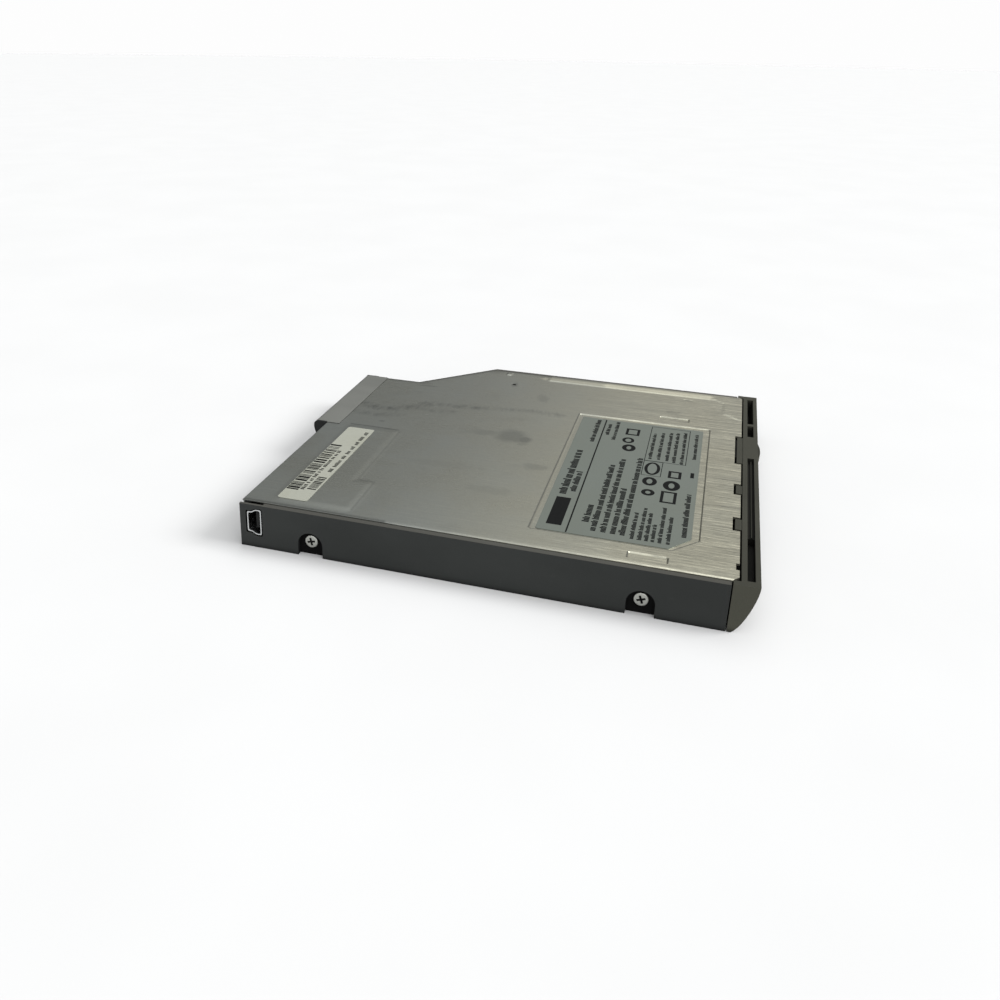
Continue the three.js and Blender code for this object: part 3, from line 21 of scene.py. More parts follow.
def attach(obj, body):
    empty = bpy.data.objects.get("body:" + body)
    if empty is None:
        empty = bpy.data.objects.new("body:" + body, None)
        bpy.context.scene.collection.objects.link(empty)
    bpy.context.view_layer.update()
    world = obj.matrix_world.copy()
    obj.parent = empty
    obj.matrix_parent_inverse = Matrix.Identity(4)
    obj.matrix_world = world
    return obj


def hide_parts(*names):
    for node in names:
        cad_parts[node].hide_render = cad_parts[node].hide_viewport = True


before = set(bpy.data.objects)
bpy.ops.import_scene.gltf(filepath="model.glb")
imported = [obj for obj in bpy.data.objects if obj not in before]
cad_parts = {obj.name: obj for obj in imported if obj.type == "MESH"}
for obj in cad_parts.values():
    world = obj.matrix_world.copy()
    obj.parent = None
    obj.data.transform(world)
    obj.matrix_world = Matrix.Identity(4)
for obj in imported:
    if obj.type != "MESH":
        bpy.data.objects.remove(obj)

log = logging.getLogger("module")

MM = 0.001
MIDDLE_X = 64.0
MIDDLE_Y = 60.275
SHALLOW = math.radians(32)
LEVEL = math.radians(0.6)
SAME_PLACE = 0.0005
EDGE_STEPS = 2

Point2 = tuple[float, float]
Point3 = tuple[float, float, float]
Colour = tuple[float, float, float]
Span = tuple[float, float]
Outline = tuple[Point2, ...]
Socket = bpy.types.NodeSocket
Shape = bmesh.types.BMesh

# Near-black colours that narrow places are darkened towards: painted shade.
PLASTIC_CREVICE_SHADE = (0.004, 0.004, 0.004)
METAL_CREVICE_SHADE = (0.006, 0.006, 0.005)


def framed(x: float, y: float, z: float) -> Vector:
    """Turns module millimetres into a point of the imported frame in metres."""
    return Vector(((x - MIDDLE_X) * MM, (y - MIDDLE_Y) * MM, z * MM))


def linear(code: str) -> Colour:
    """Turns a screen colour of six hexadecimal digits into the linear values that shaders use."""
    shares = [int(code[i:i + 2], 16) / 255 for i in (0, 2, 4)]
    return tuple(s / 12.92 if s <= 0.04045 else ((s + 0.055) / 1.055) ** 2.4 for s in shares)


def toned(base: Colour, share: float, lift: float = 0.0) -> Colour:
    """Gives a colour made lighter or darker."""
    return tuple(min(1.0, part * share + lift) for part in base)


def tinted(base: Colour, shares: Colour) -> Colour:
    """Gives a colour with each of its parts scaled."""
    return tuple(part * share for part, share in zip(base, shares))


class Nodes:
    """A shader node tree, with short calls for its nodes."""

    def __init__(self, tree: bpy.types.NodeTree) -> None:
        """Takes over a tree and empties it."""
        self.tree = tree
        tree.nodes.clear()

    def feed(self, socket: Socket, value: object) -> None:
        """Links a socket to another one, or sets its own value.

        Args:
            socket: The input to fill.
            value: An output socket, a number, a colour or a vector.
        """
        if isinstance(value, bpy.types.NodeSocket):
            self.tree.links.new(value, socket)
        elif isinstance(value, tuple) and socket.type == "RGBA":
            socket.default_value = (*value[:3], 1.0)
        else:
            socket.default_value = value

    def node(self, kind: str, inputs: dict[str | int, object] | None = None,
             **settings: object) -> bpy.types.Node:
        """Adds a node.

        Args:
            kind: Blender's name of its kind.
            inputs: What its inputs get, by name or number.
            settings: Its properties.

        Returns:
            The node.
        """
        node = self.tree.nodes.new(kind)
        for name, setting in settings.items():
            setattr(node, name, setting)
        for key, value in (inputs or {}).items():
            self.feed(node.inputs[key], value)
        return node

    def span(self, value: object, low: float, high: float, start: float = 0.0, end: float = 1.0) -> Socket:
        """Maps a number softly from the range low to high onto the range start to end."""
        inputs = dict(enumerate((value, low, high, start, end)))
        return self.node("ShaderNodeMapRange", inputs, interpolation_type="SMOOTHSTEP").outputs[0]


class Graph(Nodes):
    """A material's nodes, with the patterns and marks that the finishes share."""

    def __init__(self, name: str) -> None:
        """Starts a material that holds one principled shader.

        Args:
            name: The material's name.
        """
        self.material = bpy.data.materials.new(name)
        self.material.use_nodes = True
        super().__init__(self.material.node_tree)
        self.shader = self.node("ShaderNodeBsdfPrincipled")
        self.node("ShaderNodeOutputMaterial", {"Surface": self.shader.outputs["BSDF"]})
        self.place = self.node("ShaderNodeTexCoord").outputs["Object"]

    def set(self, name: str, value: object) -> None:
        """Fills one of the shader's inputs."""
        self.feed(self.shader.inputs[name], value)

    def math(self, operation: str, first: object, second: object = 0.0, clamp: bool = False) -> Socket:
        """Adds a math node of some operation, clamped from 0 to 1 if asked, and gives its result."""
        inputs = {0: first, 1: second}
        return self.node("ShaderNodeMath", inputs, operation=operation, use_clamp=clamp).outputs[0]

    def plus(self, first: object, second: object) -> Socket:
        """Adds two numbers."""
        return self.math("ADD", first, second)

    def times(self, first: object, second: object) -> Socket:
        """Multiplies two numbers."""
        return self.math("MULTIPLY", first, second)

    def axis(self, name: str, place: Socket | None = None) -> Socket:
        """Gives the X, Y or Z of a place or direction, by default of the surface's place in the frame."""
        return self.node("ShaderNodeSeparateXYZ", {0: self.place if place is None else place}).outputs[name]

    def stretched(self, size: float, stretch: Point3 = (1, 1, 1), shift: float = 0.0) -> Socket:
        """Scales the surface's place so that one unit is a feature's size.

        Args:
            size: The feature's size in millimetres.
            stretch: How much longer the feature is along each axis.
            shift: A shift that sets two patterns apart.

        Returns:
            The scaled place.
        """
        offset = (shift, shift * 0.7, shift * 1.3)
        scale = tuple(1 / (size * MM * along) for along in stretch)
        inputs = {"Vector": self.place, "Location": offset, "Scale": scale}
        return self.node("ShaderNodeMapping", inputs).outputs[0]

    def noise(self, size: float, stretch: Point3 = (1, 1, 1), detail: float = 3, rough: float = 0.55,
              shift: float = 0.0) -> Socket:
        """Adds a noise pattern.

        Args:
            size: The size of its features in millimetres.
            stretch: How much longer they are along each axis.
            detail: How many finer layers lie on them.
            rough: How strong the finer layers are.
            shift: A shift that sets two patterns apart.

        Returns:
            Values about 0.5.
        """
        place = self.stretched(size, stretch, shift)
        inputs = {"Vector": place, "Scale": 1.0, "Detail": detail, "Roughness": rough}
        return self.node("ShaderNodeTexNoise", inputs).outputs[0]

    def cells(self, size: float) -> Socket:
        """Gives the distance to scattered points as a share of their spacing, given in millimetres."""
        return self.node("ShaderNodeTexVoronoi", {"Vector": self.stretched(size), "Scale": 1.0}).outputs[0]

    def patchwork(self, size: float, shift: float = 0.0) -> Socket:
        """Gives square-edged patches of a size in millimetres, each with its own number about 0.5."""
        inputs = {"Vector": self.stretched(size, shift=shift), "Scale": 1.0}
        return self.node("ShaderNodeTexVoronoi", inputs, distance="CHEBYCHEV").outputs["Color"]

    def radius(self, centre: Point2) -> Socket:
        """Gives the distance to an upright axis.

        Args:
            centre: The axis's place in module millimetres.

        Returns:
            The distance in metres.
        """
        middle = framed(*centre, 0)
        aside = [self.math("SUBTRACT", self.axis(name), at) for name, at in zip("XY", middle)]
        return self.math("SQRT", self.plus(*(self.times(side, side) for side in aside)))

    def waves(self, value: Socket, pitch: float) -> Socket:
        """Turns a distance into waves from -1 to 1, with their pitch in millimetres."""
        return self.math("SINE", self.times(value, 2 * math.pi / (pitch * MM)))

    def mix(self, share: object, first: object, second: object) -> Socket:
        """Mixes two colours by the share of the second."""
        return self.node("ShaderNodeMix", {0: share, 6: first, 7: second}, data_type="RGBA").outputs[2]

    def local(self, centre: Point2, turn: float, scale: Point3 = (1, 1, 1)) -> Socket:
        """Gives the surface's place as measured from a point of the plan.

        Args:
            centre: The point in module millimetres.
            turn: The turn of the measuring axes in radians.
            scale: How long a unit is along each axis, in metres.

        Returns:
            The measured place.
        """
        inputs = {"Vector": self.place, "Rotation": (0, 0, turn), "Scale": scale}
        inputs["Location"] = framed(*centre, 0)
        return self.node("ShaderNodeMapping", inputs, vector_type="TEXTURE").outputs[0]

    def spot(self, centre: Point2, radii: Point2, turn: float, ragged: float) -> Socket:
        """Marks a soft, uneven patch seen from above.

        Args:
            centre: Its middle in module millimetres.
            radii: Its half lengths in millimetres.
            turn: Its turn in degrees.
            ragged: How uneven its edge is.

        Returns:
            One in its middle, zero outside.
        """
        place = self.local(centre, math.radians(turn), (radii[0] * MM, radii[1] * MM, 1))
        reach = self.node("ShaderNodeVectorMath", {0: place}, operation="LENGTH").outputs["Value"]
        wander = self.math("SUBTRACT", self.noise(min(radii) * 0.8, detail=4), 0.5)
        return self.span(self.plus(reach, self.times(wander, ragged)), 1.0, 0.35)

    def trail(self, points: Sequence[Point2], width: float, ragged: float) -> Socket:
        """Marks a ragged line seen from above.

        Args:
            points: The line's corners in module millimetres.
            width: Its half width in millimetres.
            ragged: How far its edge wanders, in millimetres.

        Returns:
            One on the line, zero away from it.
        """
        nearest: object = 1.0
        for start, end in zip(points, points[1:]):
            middle = ((start[0] + end[0]) / 2, (start[1] + end[1]) / 2)
            place = self.local(middle, math.atan2(end[1] - start[1], end[0] - start[0]))
            along, aside = (self.math("ABSOLUTE", self.axis(name, place)) for name in "XY")
            half = math.dist(start, end) / 2 * MM
            beyond = self.math("MAXIMUM", self.math("SUBTRACT", along, half), 0.0)
            nearest = self.math("MINIMUM", nearest, self.plus(beyond, aside))
        wander = self.noise(0.9, stretch=(3, 1, 1), detail=4, rough=0.65, shift=6.0)
        uneven = self.times(self.math("SUBTRACT", wander, 0.5), ragged * MM)
        mark = self.span(self.plus(nearest, uneven), width * MM, 0.0)
        torn = self.noise(2.2, stretch=(2.2, 1, 1), detail=5, rough=0.6, shift=11.0)
        torn = self.span(torn, 0.3, 0.66, 1 - min(ragged / 7, 1))
        return self.times(mark, torn)

    def crevice_shade(self, reach: float, strength: float) -> Socket:
        """Marks places up to some millimetres narrow, where the faces round them block light, from 0 up to a
        strength: painted shade.
        """
        node = self.node("ShaderNodeAmbientOcclusion", {"Distance": reach * MM}, samples=12)
        return self.span(node.outputs["AO"], 0.88, 0.42, 0.0, strength)

    def facing_up(self, strength: float) -> Socket:
        """Marks the faces that look up, from 0 up to a strength."""
        facing = self.axis("Z", self.node("ShaderNodeNewGeometry").outputs["Normal"])
        return self.span(facing, 0.4, 0.95, 0.0, strength)

    def bump(self, height: object, depth: float, under: Socket | None = None) -> Socket:
        """Adds a bump to the surface.

        Args:
            height: The pattern, from 0 to 1.
            depth: Its full depth in millimetres.
            under: A coarser bump below it.

        Returns:
            The bumped normal.
        """
        inputs = {"Height": height, "Distance": depth * MM}
        if under is not None:
            inputs["Normal"] = under
        return self.node("ShaderNodeBump", inputs).outputs[0]

    def roughen(self, pattern: Socket, about: float, change: Span, limits: Span = (0.3, 0.7)) -> None:
        """Lets a pattern change the roughness about a value, between the pattern's two limits."""
        self.set("Roughness", self.plus(self.span(pattern, *limits, *change), about))


class Along(Enum):
    """The axis that a brushed or rolled finish runs along."""

    X = 0
    Y = 1
    Z = 2

    def stretch(self, length: float) -> Point3:
        """Gives a pattern's stretch of some length along this axis."""
        return tuple(length if index == self.value else 1 for index in range(3))


@dataclass(frozen=True)
class Finish:
    """A finish of the module, with its material made once."""

    name: str
    colour: str
    roughness: float = 0.5

    def dress(self, graph: Graph) -> None:
        """Fills the shader; each finish has its own."""

    def material(self) -> bpy.types.Material:
        """Gives the finish's material, and makes it the first time.

        Returns:
            The material.
        """
        name = self.name + "_finish"
        made = bpy.data.materials.get(name)
        if made is None:
            graph = Graph(name)
            self.dress(graph)
            made = graph.material
        return made


@dataclass(frozen=True)
class MouldedPlastic(Finish):
    """Moulded plastic with a spark-eroded grain, faint flow marks, rubbed high spots, painted shade in its
    crevices and a tint on up-facing faces.
    """

    grain: float = 0.28
    depth: float = 0.012
    rub: float = 0.25
    gloss: float = 0.2
    # How far up-facing faces mix towards a top colour, and that colour; on the bezel this is painted shade.
    top_tone: float = 0.0
    top_colour: str = "262622"

    def dress(self, graph: Graph) -> None:
        """Fills the shader.

        Args:
            graph: The material's nodes.
        """
        base = linear(self.colour)
        flow = graph.noise(22, stretch=(1, 1.8, 1), detail=4)
        colour = graph.mix(graph.span(flow, 0.3, 0.7), toned(base, 0.8), base)
        worn = graph.span(graph.noise(4, detail=5, rough=0.7, shift=3.1), 0.6, 0.78, 0, self.rub)
        colour = graph.mix(worn, colour, toned(base, 1.35, 0.01))
        # Up-facing faces mix towards the top colour: on the bezel this darkens its top as painted shade; on
        # the rail it gives its top a lighter brownish tint.
        if self.top_tone > 0:
            colour = graph.mix(graph.facing_up(self.top_tone), colour, linear(self.top_colour))
        # Narrow places are darkened towards near-black: painted shade.
        graph.set("Base Color", graph.mix(graph.crevice_shade(2.5, 0.85), colour, PLASTIC_CREVICE_SHADE))
        fine = graph.noise(self.grain, detail=2)
        graph.roughen(fine, self.roughness, (-0.06, 0.06), (0.2, 0.8))
        slow = graph.bump(graph.noise(14, detail=2, shift=5.0), 0.02)
        graph.set("Normal", graph.bump(fine, self.depth, slow))
        graph.set("Specular IOR Level", self.gloss)


@dataclass(frozen=True)
class Stain:
    """A patch on the cover where handling has dulled or cleaned the steel; one is painted shade over a
    shallow dent.
    """

    centre: Point2
    radii: Point2
    turn: float
    strength: float
    ragged: float = 0.8

    def mark(self, graph: Graph) -> Socket:
        """Marks the patch on a surface."""
        return graph.times(graph.spot(self.centre, self.radii, self.turn, self.ragged), self.strength)


@dataclass(frozen=True)
class Trail:
    """A ragged line on the cover: a rubbed trail, a painted shade line along an edge or flank, or a painted
    highlight band.
    """

    points: Outline
    width: float
    strength: float
    ragged: float = 1.5

    def mark(self, graph: Graph) -> Socket:
        """Marks the line on a surface."""
        return graph.times(graph.trail(self.points, self.width, self.ragged), self.strength)


@dataclass(frozen=True)
class BrushedSteel(Finish):
    """Rolled sheet steel: a fine grain, hairlines, handling stains and trails, with painted light: a lighter
    warm front, hairlines that show and glint most at the front, highlight bands and dark shade lines along
    edges and flanks.
    """

    # The lighter warm colour that the front fades to stands for reflected light: painted light.
    warm: str = "a9a797"
    along: Along = Along.Y
    stains: tuple[Stain, ...] = ()
    smudges_and_shade_lines: tuple[Trail, ...] = ()
    painted_highlights: tuple[Trail, ...] = ()
    # Spans on Y over which the painted front light and the painted hairline glints fade out.
    lit_front_fade: Span = (12.0, 95.0)
    hair_lit_fade: Span = (4.0, 60.0)

    def dress(self, graph: Graph) -> None:
        """Fills the shader.

        Args:
            graph: The material's nodes.
        """
        cool, warm = linear(self.colour), linear(self.warm)
        highlight = toned(warm, 2.1)
        front, rear = (framed(0, y, 0).y for y in self.lit_front_fade)
        combed, plain = (framed(0, y, 0).y for y in self.hair_lit_fade)
        place = graph.axis("Y")
        patch = graph.noise(30, detail=5, rough=0.6, shift=4.0)
        # Towards the front the steel turns lighter and warmer: painted reflected light.
        front_light = graph.span(place, rear, front, 0.0, 0.8)
        tone = graph.math("ADD", graph.span(patch, 0.3, 0.7, 0.0, 0.3), front_light, clamp=True)
        colour = graph.mix(tone, cool, warm)
        long_hair = graph.noise(0.22, stretch=self.along.stretch(110), detail=3, rough=0.7)
        short_hair = graph.noise(0.16, stretch=self.along.stretch(24), detail=3, rough=0.6, shift=2.0)
        hair = graph.plus(graph.times(long_hair, 0.6), graph.times(short_hair, 0.4))
        # The hairlines are the steel's own grain, but they are painted to show and glint mostly at the
        # front: painted highlight and shade.
        hair_lit_share = graph.span(place, plain, combed, 0.12, 1.0)
        dark_hair = graph.times(graph.span(hair, 0.5, 0.36), hair_lit_share)
        hair_highlight = graph.times(graph.span(hair, 0.52, 0.64), hair_lit_share)
        colour = graph.mix(graph.times(dark_hair, 0.8), colour, toned(cool, 0.25))
        colour = graph.mix(graph.times(hair_highlight, 0.9), colour, highlight)
        grain = graph.noise(0.3, detail=3, rough=0.7, shift=8.0)
        colour = graph.mix(graph.span(grain, 0.35, 0.7, 0.0, 0.22), colour, toned(cool, 0.45))
        # Bands along the raised border's slope are painted lighter: painted highlight.
        for highlight_line in self.painted_highlights:
            colour = graph.mix(highlight_line.mark(graph), colour, highlight)
        cloud = graph.noise(9, stretch=(1, 1.6, 1), detail=5, rough=0.65, shift=1.7)
        soiled = graph.times(graph.span(cloud, 0.55, 0.75, 0.0, 0.22), graph.span(place, front, rear))
        # Stains and the rubbed trails are soiling; the other lines darken edges and flanks as painted shade.
        for stain_or_shade_line in (*self.stains, *self.smudges_and_shade_lines):
            soiled = graph.math("MAXIMUM", soiled, stain_or_shade_line.mark(graph))
        graph.set("Base Color", graph.mix(soiled, colour, toned(cool, 0.3)))
        graph.set("Metallic", 0.92)
        rough = graph.plus(graph.span(hair, 0.3, 0.7, 0.05, -0.05), self.roughness)
        rough = graph.plus(rough, graph.span(patch, 0.3, 0.7, 0.04, -0.03))
        graph.set("Roughness", graph.math("ADD", rough, graph.times(soiled, 0.12), clamp=True))
        wave = graph.bump(graph.noise(26, detail=1, shift=7.0), 0.05)
        fine = graph.bump(grain, 0.002, wave)
        graph.set("Normal", graph.bump(graph.times(hair, hair_lit_share), 0.008, fine))


@dataclass(frozen=True)
class PlatedSteel(Finish):
    """Zinc-plated sheet steel: a soft spangle, roll marks and dull patches."""

    along: Along = Along.Y

    def dress(self, graph: Graph) -> None:
        """Fills the shader.

        Args:
            graph: The material's nodes.
        """
        base = linear(self.colour)
        spangle = graph.span(graph.cells(1.7), 0.1, 0.9)
        colour = graph.mix(graph.times(spangle, 0.35), base, toned(base, 0.7))
        cloud = graph.span(graph.noise(16, detail=4, shift=1.5), 0.45, 0.75, 0, 0.4)
        graph.set("Base Color", graph.mix(cloud, colour, toned(base, 0.8)))
        graph.set("Metallic", 1.0)
        roll = graph.noise(0.5, stretch=self.along.stretch(30), detail=3)
        graph.roughen(roll, self.roughness, (-0.05, 0.07))
        graph.set("Normal", graph.bump(roll, 0.004))


@dataclass(frozen=True)
class TurnedSteel(Finish):
    """Steel turned on a lathe about an upright axis, with fine rings."""

    centre: Point2 = (0.0, 0.0)
    feed: float = 0.22

    def dress(self, graph: Graph) -> None:
        """Fills the shader.

        Args:
            graph: The material's nodes.
        """
        base = linear(self.colour)
        rings = graph.waves(graph.radius(self.centre), self.feed)
        fine = graph.noise(0.8, detail=4)
        ring = graph.plus(graph.span(rings, -1, 1, 0.0, 0.6), graph.span(fine, 0.3, 0.7, 0.0, 0.4))
        graph.set("Base Color", graph.mix(graph.times(ring, 0.3), base, toned(base, 0.6)))
        graph.set("Metallic", 1.0)
        graph.set("Roughness", graph.plus(graph.times(ring, 0.12), self.roughness))
        graph.set("Normal", graph.bump(ring, 0.004))


@dataclass(frozen=True)
class ScrewSteel(Finish):
    """Nickelled screw steel with handling scratches and painted shade in its crevices."""

    def dress(self, graph: Graph) -> None:
        """Fills the shader.

        Args:
            graph: The material's nodes.
        """
        base = linear(self.colour)
        fine = graph.noise(0.25, detail=5, rough=0.7)
        colour = graph.mix(graph.span(fine, 0.4, 0.75), base, toned(base, 0.62))
        # Narrow places such as the cross recess are darkened towards near-black: painted shade.
        graph.set("Base Color", graph.mix(graph.crevice_shade(1.0, 0.95), colour, METAL_CREVICE_SHADE))
        graph.set("Metallic", 0.95)
        graph.roughen(fine, self.roughness, (-0.04, 0.1))
        graph.set("Normal", graph.bump(fine, 0.008))


@dataclass(frozen=True)
class LabelFoil(Finish):
    """Silver foil label with a fine satin grain and slight yellowing."""

    metal: float = 0.45
    yellowed: Colour = (0.95, 0.93, 0.86)

    def dress(self, graph: Graph) -> None:
        """Fills the shader.

        Args:
            graph: The material's nodes.
        """
        base = linear(self.colour)
        cloud = graph.span(graph.noise(28, detail=4, shift=2.2), 0.3, 0.7, 0.0, 0.4)
        colour = graph.mix(cloud, base, tinted(base, self.yellowed))
        worn = graph.span(graph.noise(3.5, detail=5, rough=0.7, shift=9.0), 0.58, 0.8, 0, 0.3)
        colour = graph.mix(worn, colour, toned(base, 0.8))
        grain = graph.noise(0.16, detail=2)
        graph.set("Base Color", graph.mix(graph.span(grain, 0.3, 0.7, 0.0, 0.15), colour, toned(base, 0.7)))
        graph.set("Metallic", self.metal)
        graph.roughen(grain, self.roughness, (-0.04, 0.05))
        graph.set("Normal", graph.bump(grain, 0.002))


@dataclass(frozen=True)
class LabelPaper(Finish):
    """Matt paper label with fibres and soiled patches."""

    soiled: Colour = (0.78, 0.75, 0.66)

    def dress(self, graph: Graph) -> None:
        """Fills the shader.

        Args:
            graph: The material's nodes.
        """
        base = linear(self.colour)
        fibre = graph.noise(0.3, stretch=(1, 4, 1), detail=5, rough=0.7)
        colour = graph.mix(graph.span(fibre, 0.3, 0.7, 0.0, 0.2), base, toned(base, 0.8))
        soil = graph.span(graph.noise(7, detail=5, rough=0.65, shift=1.1), 0.45, 0.8, 0, 0.5)
        graph.set("Base Color", graph.mix(soil, colour, tinted(base, self.soiled)))
        graph.roughen(fibre, self.roughness, (-0.04, 0.04))
        graph.set("Normal", graph.bump(fibre, 0.006))


@dataclass(frozen=True)
class Ink(Finish):
    """Printing ink, slightly broken where it has worn."""

    gloss: float = 0.06

    def dress(self, graph: Graph) -> None:
        """Fills the shader.

        Args:
            graph: The material's nodes.
        """
        base = linear(self.colour)
        broken = graph.noise(0.5, detail=4, rough=0.7)
        worn = graph.span(broken, 0.55, 0.8, 0, 0.5)
        graph.set("Base Color", graph.mix(worn, base, toned(base, 2.2, 0.02)))
        graph.roughen(broken, self.roughness, (-0.05, 0.05))
        graph.set("Specular IOR Level", self.gloss)


@dataclass(frozen=True)
class CircuitBoard(Finish):
    """Green lacquered board with fine tracks under the lacquer and tinned pads."""

    pitch: float = 0.7
    tin: str = "a9aaa2"

    def dress(self, graph: Graph) -> None:
        """Fills the shader.

        Args:
            graph: The material's nodes.
        """
        base = linear(self.colour)
        half = self.pitch * MM / 2
        lengthwise, crosswise = (graph.math("PINGPONG", graph.axis(name), half) for name in "XY")
        turned = graph.math("GREATER_THAN", graph.patchwork(9.0), 0.5)
        crosswise = graph.times(crosswise, graph.math("SUBTRACT", 1.0, turned))
        run = graph.plus(graph.times(lengthwise, turned), crosswise)
        laid = graph.math("GREATER_THAN", graph.patchwork(4.5, shift=3.0), 0.44)
        line = graph.times(graph.span(run, half * 0.55, half * 0.68), laid)
        colour = graph.mix(line, base, toned(base, 1.5, 0.008))
        colour = graph.mix(graph.span(graph.cells(3.1), 0.13, 0.1), colour, linear(self.tin))
        weave = graph.noise(0.4, detail=3)
        graph.set("Base Color", graph.mix(graph.span(weave, 0.4, 0.7, 0, 0.25), colour, toned(base, 0.7)))
        graph.roughen(weave, self.roughness, (-0.05, 0.05))
        graph.set("Normal", graph.bump(line, 0.02))


@dataclass(frozen=True)
class Winding(Finish):
    """Enamelled copper wire laid in close turns round the motor's teeth."""

    centre: Point2 = (0.0, 0.0)
    wire: float = 0.3
    enamel: Colour = (0.8, 0.65, 0.5)

    def dress(self, graph: Graph) -> None:
        """Fills the shader.

        Args:
            graph: The material's nodes.
        """
        base = linear(self.colour)
        groove = graph.span(graph.waves(graph.radius(self.centre), self.wire), -1, 1)
        tint = graph.span(graph.noise(1.5, detail=3), 0.3, 0.7)
        warm = graph.mix(tint, base, tinted(base, self.enamel))
        graph.set("Base Color", graph.mix(groove, toned(base, 0.35), warm))
        graph.set("Metallic", 0.85)
        graph.roughen(tint, self.roughness, (-0.05, 0.05), (0, 1))
        graph.set("Normal", graph.bump(groove, 0.08))


@dataclass(frozen=True)
class Film(Finish):
    """Flexible ribbon film with parallel conductors below the surface."""

    pitch: float = 0.8

    def dress(self, graph: Graph) -> None:
        """Fills the shader.

        Args:
            graph: The material's nodes.
        """
        base = linear(self.colour)
        lane = graph.span(graph.waves(graph.axis("X"), self.pitch), -0.2, 0.5)
        fine = graph.noise(2.0, detail=3)
        colour = graph.mix(lane, toned(base, 0.55), base)
        graph.set("Base Color", graph.mix(graph.span(fine, 0.4, 0.7, 0, 0.2), colour, toned(base, 0.8)))
        graph.roughen(fine, self.roughness, (-0.05, 0.05))
        graph.set("Normal", graph.bump(lane, 0.02))


@dataclass(frozen=True)
class Lens(Finish):
    """Clear plastic with a faint tint and a few moulding flow lines."""

    clear: float = 0.55
    bends: float = 1.49

    def dress(self, graph: Graph) -> None:
        """Fills the shader.

        Args:
            graph: The material's nodes.
        """
        base = linear(self.colour)
        flow = graph.noise(1.8, detail=3)
        graph.set("Base Color", graph.mix(graph.span(flow, 0.3, 0.7), base, toned(base, 0.85)))
        graph.roughen(flow, self.roughness, (0.0, 0.08))
        graph.set("Transmission Weight", self.clear)
        graph.set("IOR", self.bends)


SPINDLE = (52.0, 45.7)

# The rail's up-facing faces get a lighter brownish tint; the bezel's top is darkened as painted shade.
RAIL = MouldedPlastic("rail_plastic", "2c2e2d", 0.55, gloss=0.12, top_tone=0.18, top_colour="6b665c")
BEZEL = MouldedPlastic("bezel_plastic", "484840", 0.6, grain=0.4, depth=0.05, gloss=0.04, top_tone=0.6)
HOOD = MouldedPlastic("hood_plastic", "5d5e5a", 0.45, grain=0.2, depth=0.006)
BLACK = MouldedPlastic("black_plastic", "191a1a", 0.5, grain=0.2, depth=0.008)
# Flat black for sheets laid where there is only shade: painted shade.
SHADE_BLACK = MouldedPlastic("painted_shade_black", "0b0b0b", 0.8, grain=0.2, depth=0.008, gloss=0.05)
IVORY = MouldedPlastic("ivory_plastic", "cfc9b4", 0.45, grain=0.3, depth=0.006)
CERAMIC = MouldedPlastic("head_ceramic", "dedcd2", 0.25, grain=0.15, depth=0.002, rub=0.1)
PLATE = PlatedSteel("plate_steel", "a3a5a2", 0.36)
SHELL = PlatedSteel("socket_steel", "c3c5c5", 0.25)
SCREW = ScrewSteel("screw_steel", "a8a9a3", 0.32)
ROTOR = TurnedSteel("rotor_steel", "b4b6b6", 0.24, centre=SPINDLE)
BRASS = ScrewSteel("brass", "b08d4a", 0.3)
GOLD = ScrewSteel("gold_contact", "d0a54c", 0.22)
FOIL = LabelFoil("silver_label", "5f655f", 0.42)
PAPER = LabelPaper("paper_label", "83847a", 0.75)
INK = Ink("print_ink", "0e0f0f", 0.7)
BOARD = CircuitBoard("board_green", "1f5a34", 0.35)
COPPER = Winding("copper_winding", "b0703a", 0.32, centre=SPINDLE)
RIBBON = Film("ribbon_film", "b07f33", 0.3)
LENS = Lens("clear_lens", "9fbf8f", 0.12)
